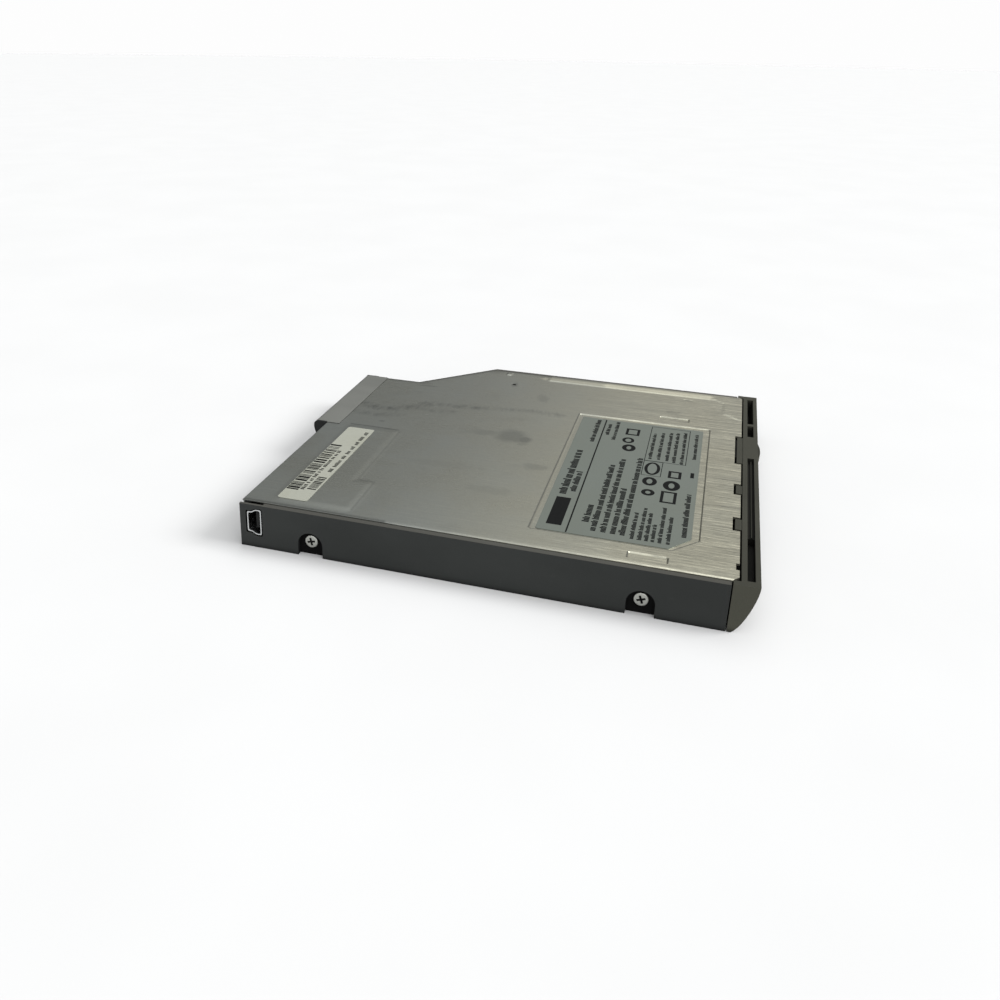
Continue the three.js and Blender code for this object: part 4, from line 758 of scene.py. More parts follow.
COVER = BrushedSteel(
    "brushed_steel",
    "8a8d89",
    0.31,
    stains=(
        Stain((66.6, 65.4), (6.6, 7.4), 12, 0.5, 0.7),
        Stain((65.2, 61.6), (3.6, 3.4), 30, 0.6, 0.7),
        Stain((61.8, 61.4), (1.6, 2.2), 20, 0.3, 0.9),
        Stain((66.8, 74.0), (3.2, 7.0), 6, 0.3, 1.2),
        Stain((102.2, 62.9), (5.0, 2.6), 10, 0.28, 1.4),
        Stain((100.9, 103.0), (1.0, 5.0), 4, 0.45, 1.4),
        Stain((112.4, 74.8), (2.6, 1.5), 0, 0.5, 1.2),
        Stain((64.9, 107.1), (1.0, 1.4), 0, 0.5, 1.0),
        Stain((46.8, 54.5), (3.4, 4.4), 0, 0.3, 1.4),
        Stain((28.2, 63.0), (3.0, 8.5), 0, 0.16, 1.4),
        Stain((40.0, 80.0), (3.0, 16.0), 4, 0.12, 1.6),
        Stain((104.0, 20.0), (2.0, 3.4), 0, 0.3, 1.2),
        # Painted shade over the shallow dent below it.
        Stain((117.2, 16.0), (1.2, 2.0), 0, 0.5, 0.6),
    ),
    smudges_and_shade_lines=(
        Trail(((78.0, 118.8), (75.6, 112.7), (76.0, 107.0), (79.7, 102.0), (84.6, 97.3)), 3.4, 0.85, 6.5),
        Trail(((84.6, 97.3), (85.6, 88.5), (86.4, 81.0)), 3.0, 0.7, 6.5),
        Trail(((86.4, 81.0), (88.0, 72.8), (89.4, 64.0), (89.0, 54.2)), 2.6, 0.45, 5.5),
        Trail(((80.0, 101.0), (78.6, 95.0), (80.5, 88.0)), 2.8, 0.45, 6.5),
        Trail(((70.0, 118.0), (69.4, 111.0), (72.0, 104.0)), 3.0, 0.6, 6.5),
        # Painted shade: dark lines along the pad's edges, the label recess's flanks, the left bar's ends and
        # the folded rims.
        Trail(((59.6, 115.4), (59.7, 107.7), (59.4, 99.8)), 0.8, 0.75, 0.6),
        Trail(((58.6, 99.0), (46.0, 98.9), (22.4, 98.9)), 0.6, 0.4, 0.5),
        Trail(((22.4, 98.9), (22.4, 94.0), (5.0, 93.9)), 0.6, 0.4, 0.5),
        Trail(((10.85, 48.5), (10.85, 14.1), (17.9, 7.75)), 0.48, 0.95, 0.2),
        Trail(((11.0, 48.95), (92.6, 48.95)), 0.4, 0.8, 0.2),
        Trail(((4.3, 23.95), (6.9, 23.95)), 0.42, 0.95, 0.2),
        Trail(((4.3, 14.45), (6.9, 14.45)), 0.3, 0.6, 0.2),
        Trail(((2.0, 123.2), (2.0, 84.0)), 1.3, 0.75, 0.6),
        Trail(((125.5, -1.5), (125.5, 85.05), (103.6, 107.3), (103.6, 123.2)), 1.3, 0.95, 0.3),
    ),
    # Painted highlight bands along the raised border's slope.
    painted_highlights=(
        Trail(((122.4, 66.0), (122.4, 38.0)), 2.4, 0.45, 0.6),
        Trail(((122.4, 44.0), (122.4, 9.0)), 2.6, 0.8, 0.5),
    ),
)


def smooth_by_angle() -> bpy.types.NodeTree:
    """Makes the modifier tree that shades faces smooth across shallow edges.

    Returns:
        The geometry node tree.
    """
    name = "smooth_by_angle"
    tree = bpy.data.node_groups.get(name)
    if tree is not None:
        return tree
    tree = bpy.data.node_groups.new(name, "GeometryNodeTree")
    for way in ("INPUT", "OUTPUT"):
        tree.interface.new_socket("Geometry", in_out=way, socket_type="NodeSocketGeometry")
    start = tree.nodes.new("NodeGroupInput")
    end = tree.nodes.new("NodeGroupOutput")
    faces = tree.nodes.new("GeometryNodeSetShadeSmooth")
    edges = tree.nodes.new("GeometryNodeSetShadeSmooth")
    edges.domain = "EDGE"
    angle = tree.nodes.new("GeometryNodeInputMeshEdgeAngle")
    shallow = tree.nodes.new("FunctionNodeCompare")
    shallow.operation = "LESS_THAN"
    shallow.inputs[1].default_value = SHALLOW
    tree.links.new(start.outputs[0], faces.inputs["Geometry"])
    tree.links.new(faces.outputs[0], edges.inputs["Geometry"])
    tree.links.new(angle.outputs[0], shallow.inputs[0])
    tree.links.new(shallow.outputs[0], edges.inputs["Shade Smooth"])
    tree.links.new(edges.outputs[0], end.inputs[0])
    return tree


def shade_smooth(piece: bpy.types.Object) -> None:
    """Shades a piece smooth across its shallow edges."""
    smooth = piece.modifiers.new("smooth", "NODES")
    smooth.node_group = smooth_by_angle()


def soften(piece: bpy.types.Object, width: float) -> None:
    """Rounds a piece's edges with modifiers.

    Args:
        piece: The object.
        width: The rounding's width in millimetres.
    """
    weld = piece.modifiers.new("weld", "WELD")
    weld.merge_threshold = SAME_PLACE * MM
    flat = piece.modifiers.new("flat", "DECIMATE")
    flat.decimate_type = "DISSOLVE"
    flat.angle_limit = LEVEL
    bevel = piece.modifiers.new("bevel", "BEVEL")
    bevel.width = width * MM
    bevel.segments = EDGE_STEPS
    bevel.limit_method = "ANGLE"
    bevel.angle_limit = SHALLOW
    bevel.miter_outer = "MITER_ARC"
    shade_smooth(piece)
    evened = piece.modifiers.new("evened", "WEIGHTED_NORMAL")
    evened.keep_sharp = True


def written(name: str, mesh: Shape) -> bpy.types.Mesh:
    """Writes a shape into mesh data of its own, and frees the shape.

    Args:
        name: The data's name.
        mesh: The shape.

    Returns:
        The mesh data.
    """
    data = bpy.data.meshes.new(name)
    mesh.to_mesh(data)
    mesh.free()
    return data


def placed(name: str, data: bpy.types.ID) -> bpy.types.Object:
    """Puts an object with some data into the scene.

    Args:
        name: The object's name.
        data: Its mesh, camera or lamp data.

    Returns:
        The object.
    """
    made = bpy.data.objects.new(name, data)
    bpy.context.scene.collection.objects.link(made)
    return made


@dataclass(frozen=True)
class Maker:
    """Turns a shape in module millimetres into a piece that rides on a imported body."""

    name: str
    slot: str
    finish: Finish
    nodes: tuple[str, ...] = ()
    body: str = "carrier"

    def make(self, mesh: Shape) -> None:
        """Makes the piece, dresses it and sets it on its body.

        Args:
            mesh: The shape, which is freed afterwards.
        """
        for vertex in mesh.verts:
            vertex.co = framed(*vertex.co)
        bmesh.ops.recalc_face_normals(mesh, faces=mesh.faces)
        piece = placed(self.name, written(self.name, mesh))
        piece.data.materials.append(self.finish.material())
        shade_smooth(piece)
        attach(piece, self.body)
        if self.nodes:
            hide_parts(*self.nodes)
        log.info("made %s with %d faces", self.name, len(piece.data.polygons))


def add_block(mesh: Shape, across: Span, along: Span, up: Span) -> None:
    """Adds a block.

    Args:
        mesh: The shape to add to.
        across: Its two places on X.
        along: Its two places on Y.
        up: Its two places on Z.
    """
    spans = (across, along, up)
    middle = Vector([sum(span) / 2 for span in spans])
    size = [high - low for low, high in spans]
    bmesh.ops.create_cube(mesh, size=1, matrix=Matrix.Translation(middle) @ Matrix.Diagonal((*size, 1)))


def add_plate(mesh: Shape, corners: Sequence[Point2], up: Span) -> None:
    """Makes an empty shape into a plate of some outline.

    Args:
        mesh: The empty shape.
        corners: The plate's corners in plan.
        up: Its two places on Z.
    """
    for z in up:
        mesh.faces.new([mesh.verts.new((*corner, z)) for corner in corners])
    bmesh.ops.bridge_loops(mesh, edges=list(mesh.edges))


def join_loops(mesh: Shape, first: Sequence[object], second: Sequence[object]) -> None:
    """Joins two loops of equally many vertices with a band of faces.

    Args:
        mesh: The shape that they belong to.
        first: One loop's vertices.
        second: The other loop's vertices.
    """
    for k in range(len(first)):
        after = (k + 1) % len(first)
        mesh.faces.new((first[k], first[after], second[after], second[k]))


def ellipse(centre: Point2, radii: Point2, steps: int) -> list[Point2]:
    """Gives points round an ellipse, anticlockwise, from its middle and its half lengths."""
    angles = [2 * math.pi * k / steps for k in range(steps)]
    return [(centre[0] + radii[0] * math.cos(a), centre[1] + radii[1] * math.sin(a)) for a in angles]


def turned_round(outline: Sequence[Point2]) -> np.ndarray:
    """Gives an outline anticlockwise as an array.

    Args:
        outline: Its corners.

    Returns:
        The corners, anticlockwise.
    """
    points = np.array(outline, float)
    following = np.roll(points, -1, 0)
    area = np.sum(points[:, 0] * following[:, 1] - following[:, 0] * points[:, 1])
    return points if area > 0 else points[::-1]


def depth_inside(points: np.ndarray, outline: np.ndarray) -> np.ndarray:
    """Measures how far points lie inside an outline.

    Args:
        points: The points.
        outline: The outline's corners.

    Returns:
        Distances to the outline, negative outside it.
    """
    best = np.full(len(points), np.inf)
    inside = np.zeros(len(points), bool)
    x, y = points[:, 0], points[:, 1]
    for start, end in zip(outline, np.roll(outline, -1, 0)):
        edge = end - start
        to_point = points - start
        share = np.clip(to_point @ edge / (edge @ edge), 0, 1)
        best = np.minimum(best, np.linalg.norm(to_point - share[:, None] * edge, axis=1))
        if start[1] != end[1]:
            at = edge[0] * (y - start[1]) / edge[1] + start[0]
            inside ^= ((start[1] > y) != (end[1] > y)) & (x < at)
    return np.where(inside, best, -best)


def grown(outline: np.ndarray, by: float, steps: int = 5) -> list[Point2]:
    """Moves an anticlockwise outline outwards, with round corners where it opens.

    Args:
        outline: The corners.
        by: The distance, negative for inwards.
        steps: How many parts a round corner is divided into.

    Returns:
        The moved outline.
    """
    made: list[Point2] = []
    count = len(outline)
    for i in range(count):
        before, here, after = outline[i - 1], outline[i], outline[(i + 1) % count]
        first = (here - before) / np.linalg.norm(here - before)
        second = (after - here) / np.linalg.norm(after - here)
        out_first = np.array((first[1], -first[0]))
        out_second = np.array((second[1], -second[0]))
        turn = first[0] * second[1] - first[1] * second[0]
        if turn * by > 0:
            start = math.atan2(out_first[1], out_first[0])
            sweep = math.atan2(turn, float(first @ second))
            for k in range(steps + 1):
                angle = start + sweep * k / steps
                made.append(tuple(here + by * np.array((math.cos(angle), math.sin(angle)))))
        else:
            mitre = (out_first + out_second) / (1 + out_first @ out_second)
            made.append(tuple(here + by * mitre))
    return made


def rounded(outline: Outline, radius: float, steps: int = 6) -> list[Point2]:
    """Rounds an outline's outer corners by a radius, and gives it anticlockwise."""
    return grown(np.array(grown(turned_round(outline), -radius)), radius, steps)


def box_outline(across: Span, along: Span) -> Outline:
    """Gives a box's corners in plan, anticlockwise, from its two places on X and on Y."""
    return ((across[0], along[0]), (across[1], along[0]), (across[1], along[1]), (across[0], along[1]))


@dataclass(frozen=True)
class Pressing:
    """A place where the sheet is pressed up or down, with a soft flank and round corners."""

    outline: Outline
    rise: float
    flank: float
    corner: float
    shares: tuple[float, ...] = (-0.62, -0.5, -0.36, -0.18, 0.0, 0.18, 0.36, 0.5, 0.62)
    nearest: float = 0.03

    def core(self) -> np.ndarray:
        """Gives the outline drawn in by the corner's radius."""
        return np.array(grown(turned_round(self.outline), -self.corner))

    def height(self, points: np.ndarray) -> np.ndarray:
        """Works out the sheet's rise at some points.

        Args:
            points: The points in plan.

        Returns:
            The rise at each point.
        """
        inside = depth_inside(points, self.core()) + self.corner
        share = np.clip(inside / self.flank + 0.5, 0, 1)
        return self.rise * share * share * (3 - 2 * share)

    def rings(self) -> list[list[Point2]]:
        """Gives the loops of points that carry the flank's curve, and a flat one on either side."""
        core = self.core()
        return [grown(core, max(self.corner - share * self.flank, self.nearest)) for share in self.shares]


@dataclass
class SteelCover:
    """The pressed steel cover: label recess, sunk bars, raised border and pad, folded rim."""

    top: float = 12.7
    sheet: float = 0.5
    rim: float = 0.34
    rim_shares: tuple[float, ...] = (0.04, 0.15, 0.33, 0.6, 1.0)
    grid: float = 4.0
    left: float = 1.9
    right: float = 125.6
    front: float = -1.55
    rear: float = 123.2
    rear_right: float = 103.6
    bend: Point2 = (125.6, 85.05)
    rear_bend: Point2 = (103.6, 107.37)
    fold_ahead: float = 6.0
    chamfer: float = 1.3
    nibble: Span = (6.6, 9.6)
    nibble_depth: float = 0.8
    notches: tuple[Span, ...] = ((26.752, 33.792), (48.0, 54.528), (69.0, 90.0))
    notch_side: float = 0.5
    notch_rear: float = 0.3
    hole: Point2 = (112.6, 75.0)
    hole_radius: float = 0.7
    hole_steps: int = 16
    hole_share: float = 0.98
    same_point: float = 1e-5
    flange: float = 2.9
    flange_front: float = 1.0
    left_flange_rear: float = 116.8
    right_flange_rear: float = 84.05
    rear_flange_right: float = 57.9
    recess: Pressing = Pressing(
        ((18.0, 7.9), (92.8, 7.9), (92.8, 48.6), (11.0, 48.6), (11.0, 14.2)),
        rise=-0.3, flank=0.42, corner=0.5,
    )
    left_bar: Pressing = Pressing(box_outline((4.1, 7.1), (14.6, 23.8)), -0.3, 0.42, 0.45)
    right_bar: Pressing = Pressing(box_outline((96.4, 99.4), (14.6, 23.8)), -0.3, 0.42, 0.45)
    border: Pressing = Pressing(
        (
            (127.6, 64.4), (120.5, 64.4), (120.5, 7.0), (117.9, 4.4),
            (108.3, 4.4), (101.0, -4.0), (127.6, -4.0),
        ),
        rise=0.22, flank=1.5, corner=0.8,
    )
    pad: Pressing = Pressing(
        ((4.8, 94.3), (22.0, 94.3), (22.0, 99.4), (58.5, 99.4), (58.5, 115.1), (4.8, 115.1)),
        rise=0.12, flank=3.2, corner=1.7,
    )
    dent: Pressing = Pressing(box_outline((116.6, 117.9), (14.4, 17.6)), -0.08, 0.5, 0.45)
    pimple: Pressing = Pressing(box_outline((121.8, 124.4), (78.0, 79.8)), 0.2, 0.8, 0.6)

    def __post_init__(self) -> None:
        """Lists every pressing."""
        sunk = (self.recess, self.left_bar, self.right_bar)
        self.pressings = (*sunk, self.border, self.pad, self.dent, self.pimple)

    def outline(self) -> np.ndarray:
        """Gives the sheet's outline in plan.

        Returns:
            Its corners, anticlockwise.
        """
        points = [(self.left, self.front + self.chamfer), (self.left + self.chamfer, self.front)]
        inner = self.front + self.nibble_depth
        points += [(self.nibble[0], self.front), (self.nibble[0], inner)]
        points += [(self.nibble[1], inner), (self.nibble[1], self.front)]
        for start, end in self.notches:
            near, inner = start - self.notch_side, self.notch_rear
            points += [(near, self.front), (near, inner), (end, inner), (end, self.front)]
        points += [(self.right - self.chamfer, self.front), (self.right, self.front + self.chamfer)]
        points += [self.bend, self.rear_bend, (self.rear_right, self.rear), (self.left, self.rear)]
        return turned_round(points)

    def folded(self) -> np.ndarray:
        """Gives the outline that the folded rim follows, which runs on past the cut front edge.

        Returns:
            Its corners, anticlockwise.
        """
        ahead = self.front - self.fold_ahead
        corners = [(self.left, ahead), (self.right, ahead), self.bend, self.rear_bend]
        corners += [(self.rear_right, self.rear), (self.left, self.rear)]
        return turned_round(corners)

    def open_grid(self, outline: np.ndarray) -> list[Point2]:
        """Lists the grid points that lie on level sheet.

        Args:
            outline: The sheet's outline.

        Returns:
            The points away from its rim and from every flank.
        """
        columns = np.arange(self.left, self.right, self.grid)
        rows = np.arange(self.front, self.rear, self.grid)
        grid = np.array([(x, y) for x in columns for y in rows])
        keep = depth_inside(grid, outline) > self.rim * 2
        for pressing in self.pressings:
            inside = depth_inside(grid, turned_round(pressing.outline))
            keep &= np.abs(inside) > pressing.flank
        return [tuple(p) for p in grid[keep]]

    def plan(self) -> tuple[np.ndarray, list[Sequence[int]]]:
        """Divides the sheet's plan into triangles that follow every flank.

        Returns:
            The points and the triangles.
        """
        outline = self.outline()
        loops = [[tuple(p) for p in outline]]
        loops += [grown(self.folded(), -self.rim * share) for share in self.rim_shares]
        for pressing in self.pressings:
            loops += pressing.rings()
        loops.append(ellipse(self.hole, (self.hole_radius, self.hole_radius), self.hole_steps))
        points = self.open_grid(outline)
        edges: list[tuple[int, int]] = []
        for loop in loops:
            base = len(points)
            points += loop
            edges += [(base + i, base + (i + 1) % len(loop)) for i in range(len(loop))]
        made, _, faces, *_ = delaunay_2d_cdt([Vector(p) for p in points], edges, [], 0, self.same_point)
        flat = np.array([tuple(p) for p in made])
        middles = np.array([flat[list(face)].mean(0) for face in faces])
        keep = depth_inside(middles, outline) > 0
        beside = np.linalg.norm(middles - np.array(self.hole), axis=1)
        keep &= beside > self.hole_radius * self.hole_share
        return flat, [face for face, kept in zip(faces, keep) if kept]

    def add_sheet(self, mesh: Shape) -> None:
        """Adds the pressed sheet, with its rim rounded over.

        Args:
            mesh: The empty shape.
        """
        flat, faces = self.plan()
        rise = sum(pressing.height(flat) for pressing in self.pressings)
        near_rim = np.clip(self.rim - depth_inside(flat, self.folded()), 0, self.rim)
        drop = self.rim - np.sqrt(np.maximum(self.rim ** 2 - near_rim ** 2, 0))
        upper = [mesh.verts.new((x, y, self.top + r - d)) for (x, y), r, d in zip(flat, rise, drop)]
        lower = [mesh.verts.new((x, y, self.top - self.sheet + r)) for (x, y), r in zip(flat, rise)]
        sides: set[tuple[int, int]] = set()
        for face in faces:
            mesh.faces.new([upper[i] for i in face])
            mesh.faces.new([lower[i] for i in reversed(face)])
            sides.update(zip(face, [*face[1:], face[0]]))
        for start, end in sorted(sides):
            if (end, start) not in sides:
                mesh.faces.new([upper[start], lower[start], lower[end], upper[end]])
        loose = [vertex for vertex in mesh.verts if not vertex.link_faces]
        bmesh.ops.delete(mesh, geom=loose, context="VERTS")

    def build(self) -> None:
        """Builds the cover with its three folded flanges."""
        mesh = bmesh.new()
        self.add_sheet(mesh)
        up = (self.top - self.flange, self.top - self.sheet)
        left_inside, right_inside = self.left + self.sheet, self.right - self.sheet
        add_block(mesh, (self.left, left_inside), (self.flange_front, self.left_flange_rear), up)
        add_block(mesh, (right_inside, self.right), (self.flange_front, self.right_flange_rear), up)
        add_block(mesh, (left_inside, self.rear_flange_right), (self.rear - self.sheet, self.rear), up)
        Maker("cover_sheet", "brushed_steel", COVER, ("top_cover",)).make(mesh)


@dataclass
class Print:
    """Plain printed marks on a label: its face, the ink's thickness and the seed of random marks."""

    face: float
    ink: float
    seed: int
    sunk: float = 0.01
    group: tuple[int, int] = (2, 8)
    heights: tuple[float, ...] = (0.72, 0.78, 0.78, 1.0)
    stroke_share: float = 0.8
    gap_share: float = 0.6
    ring_steps: int = 28

    def __post_init__(self) -> None:
        """Starts an empty print."""
        self.mesh = bmesh.new()
        self.up = (self.face - self.sunk, self.face + self.ink)
        self.dice = random.Random(self.seed)

    def bar(self, across: Span, along: Span) -> None:
        """Prints one bar between two places on X and two on Y."""
        add_block(self.mesh, across, along, self.up)

    def stroke(self, x: float, y: float, wide: float, tall: float) -> None:
        """Prints one bar from its corner, its width and its height."""
        self.bar((x, x + wide), (y, y + tall))

    def row(self, start: float, end: float, y: float, tall: float, wide: float) -> None:
        """Prints a row of short strokes in groups.

        Args:
            start: Where it starts on X.
            end: Where it ends on X.
            y: Its middle line.
            tall: The height of its tallest strokes.
            wide: The room that each stroke takes up.
        """
        x = start
        while x < end:
            for _ in range(self.dice.randint(*self.group)):
                if x + wide > end:
                    break
                high = tall * self.dice.choice(self.heights)
                self.stroke(x, y - tall / 2, wide * self.stroke_share, high)
                x += wide
            x += wide * self.gap_share

    def bars(self, across: Span, along: Span, widths: Sequence[float], gaps: Sequence[float]) -> None:
        """Prints a row of upright bars that code nothing.

        Args:
            across: Where it starts and ends on X.
            along: Its two places on Y.
            widths: The bars' widths to choose from.
            gaps: The gaps' widths to choose from.
        """
        x = across[0]
        while x < across[1]:
            wide = self.dice.choice(widths)
            self.bar((x, x + wide), along)
            x += wide + self.dice.choice(gaps)

    def ring(self, centre: Point2, radii: Point2, thick: float) -> None:
        """Prints a plain ring.

        Args:
            centre: Its middle.
            radii: Its half lengths on X and Y.
            thick: How broad its line is.
        """
        within = (radii[0] - thick, radii[1] - thick)
        low, high = self.up
        loops = [
            [self.mesh.verts.new((*point, z)) for point in ellipse(centre, reach, self.ring_steps)]
            for reach, z in ((radii, low), (radii, high), (within, high), (within, low))
        ]
        for first, second in zip(loops, loops[1:] + loops[:1]):
            join_loops(self.mesh, first, second)

    def frame(self, across: Span, along: Span, thick: float) -> None:
        """Prints a plain frame.

        Args:
            across: Its two places on X.
            along: Its two places on Y.
            thick: How broad its line is.
        """
        (left, right), (front, rear) = across, along
        self.bar((left, right), (front, front + thick))
        self.bar((left, right), (rear - thick, rear))
        self.bar((left, left + thick), (front + thick, rear - thick))
        self.bar((right - thick, right), (front + thick, rear - thick))


@dataclass
class Label:
    """A label with round corners and a print of its own."""

    node: str
    sheet: str
    slot: str
    finish: Finish
    outline: Outline
    corner: float
    base: float
    thick: float
    ink: float
    seed: int

    def print_marks(self, marks: Print) -> None:
        """Prints the label's marks; each label has its own."""

    def build(self) -> None:
        """Builds the label and its print."""
        top = self.base + self.thick
        mesh = bmesh.new()
        add_plate(mesh, rounded(self.outline, self.corner), (self.base, top))
        Maker(f"{self.node}_{self.sheet}", self.slot, self.finish, (self.node,)).make(mesh)
        marks = Print(top, self.ink, self.seed)
        self.print_marks(marks)
        Maker(f"{self.node}_print", self.slot, INK).make(marks.mesh)


@dataclass
class SpecLabel(Label):
    """The large foil label in its recess, with a rule, table lines and rows of plain marks."""

    node: str = "spec_label"
    sheet: str = "foil"
    slot: str = "silver_label"
    finish: Finish = FOIL
    outline: Outline = ((18.1, 9.8), (90.9, 9.8), (90.9, 47.4), (11.7, 47.4), (11.7, 14.9))
    corner: float = 0.7
    base: float = 12.402
    thick: float = 0.11
    ink: float = 0.012
    seed: int = 41
    solid: tuple[tuple[Span, Span], ...] = (
        ((12.0, 90.6), (39.55, 39.95)), ((15.0, 31.0), (41.4, 45.3)), ((54.5, 58.0), (11.0, 12.0)),
    )
    rows: tuple[tuple[float, float, float, float, float], ...] = (
        (33.0, 64.0, 44.4, 2.3, 0.85), (35.3, 49.0, 41.9, 1.8, 0.8), (71.3, 89.8, 42.0, 1.5, 0.7),
        (19.0, 30.3, 36.0, 1.8, 0.8), (14.8, 56.6, 33.7, 1.7, 0.68), (14.8, 61.7, 31.2, 1.7, 0.68),
        (14.8, 42.2, 28.8, 1.7, 0.68), (14.8, 64.0, 26.5, 1.7, 0.68), (78.2, 88.2, 38.2, 1.2, 0.6),
        (74.9, 90.0, 35.9, 1.2, 0.6), (13.8, 29.4, 24.0, 1.15, 0.6), (13.8, 32.1, 22.1, 1.15, 0.6),
        (13.8, 29.7, 20.5, 1.15, 0.6), (13.8, 23.8, 19.0, 1.15, 0.6), (13.8, 34.2, 17.3, 1.15, 0.6),
        (13.8, 29.5, 15.3, 1.15, 0.6), (18.6, 43.9, 11.8, 1.5, 0.68), (64.0, 84.5, 24.0, 1.1, 0.6),
        (64.3, 86.0, 21.6, 1.1, 0.6), (64.1, 86.5, 19.2, 1.1, 0.6), (63.4, 87.0, 17.2, 1.1, 0.6),
        (63.0, 88.1, 15.0, 1.1, 0.6), (67.8, 87.8, 11.6, 1.15, 0.6),
    )
    frames: tuple[tuple[Span, Span, float], ...] = (
        ((52.3, 62.6), (19.9, 25.4), 0.2), ((62.6, 89.7), (13.6, 25.4), 0.2),
        ((36.4, 43.6), (14.8, 19.0), 0.8), ((80.4, 85.6), (28.6, 32.8), 0.8),
        ((52.6, 57.4), (14.4, 18.0), 0.8),
    )
    rings: tuple[tuple[Point2, Point2, float], ...] = (
        ((70.2, 30.6), (2.6, 2.0), 1.3), ((76.0, 31.4), (2.2, 1.8), 0.9), ((57.4, 22.6), (4.4, 2.2), 0.9),
        ((48.6, 22.6), (2.8, 2.0), 1.2), ((47.6, 16.6), (3.2, 2.3), 1.5), ((41.4, 22.4), (2.0, 1.8), 1.1),
    )

    def print_marks(self, marks: Print) -> None:
        """Prints the solid bars, the rows of strokes, the frames and the rings.

        Args:
            marks: The label's print.
        """
        for across, along in self.solid:
            marks.bar(across, along)
        for row in self.rows:
            marks.row(*row)
        for drawn in self.frames:
            marks.frame(*drawn)
        for ring in self.rings:
            marks.ring(*ring)


@dataclass
class StripLabel(Label):
    """The narrow paper label on the raised pad, with a plain bar pattern and marks."""

    node: str = "strip_label"
    sheet: str = "paper"
    slot: str = "paper_label"
    finish: Finish = PAPER
    outline: Outline = box_outline((5.4, 56.6), (106.5, 115.0))
    corner: float = 0.8
    base: float = 12.822
    thick: float = 0.09
    ink: float = 0.01
    seed: int = 7
    stroke: float = 0.55
    code: tuple[Span, Span] = ((10.8, 42.0), (111.5, 114.9))
    code_widths: tuple[float, ...] = (0.35, 0.35, 0.7, 0.95)
    code_gaps: tuple[float, ...] = (0.28, 0.28, 0.5, 0.75)
    upper: Span = (11.6, 39.0)
    upper_y: float = 110.1
    upper_heights: tuple[float, ...] = (0.8, 0.9, 1.1)
    upper_steps: tuple[float, ...] = (0.85, 0.85, 0.85, 1.5)
    block: tuple[Span, Span] = ((12.2, 20.5), (107.0, 109.5))
    block_widths: Span = (0.35, 0.6)
    block_gaps: Span = (0.3, 0.5)
    lower: Span = (24.0, 53.0)
    lower_y: float = 107.4
    lower_heights: Span = (0.9, 1.15)
    lower_group: tuple[int, int] = (3, 6)
    lower_step: float = 0.8
    lower_gap: float = 1.1

    def print_marks(self, marks: Print) -> None:
        """Prints two rows of bars and two rows of strokes.

        Args:
            marks: The label's print.
        """
        dice = marks.dice
        marks.bars(*self.code, self.code_widths, self.code_gaps)
        x, end = self.upper
        while x < end:
            marks.stroke(x, self.upper_y, self.stroke, dice.choice(self.upper_heights))
            x += dice.choice(self.upper_steps)
        marks.bars(*self.block, self.block_widths, self.block_gaps)
        x, end = self.lower
        while x < end:
            for _ in range(dice.randint(*self.lower_group)):
                marks.stroke(x, self.lower_y, self.stroke, dice.choice(self.lower_heights))
                x += self.lower_step
            x += self.lower_gap


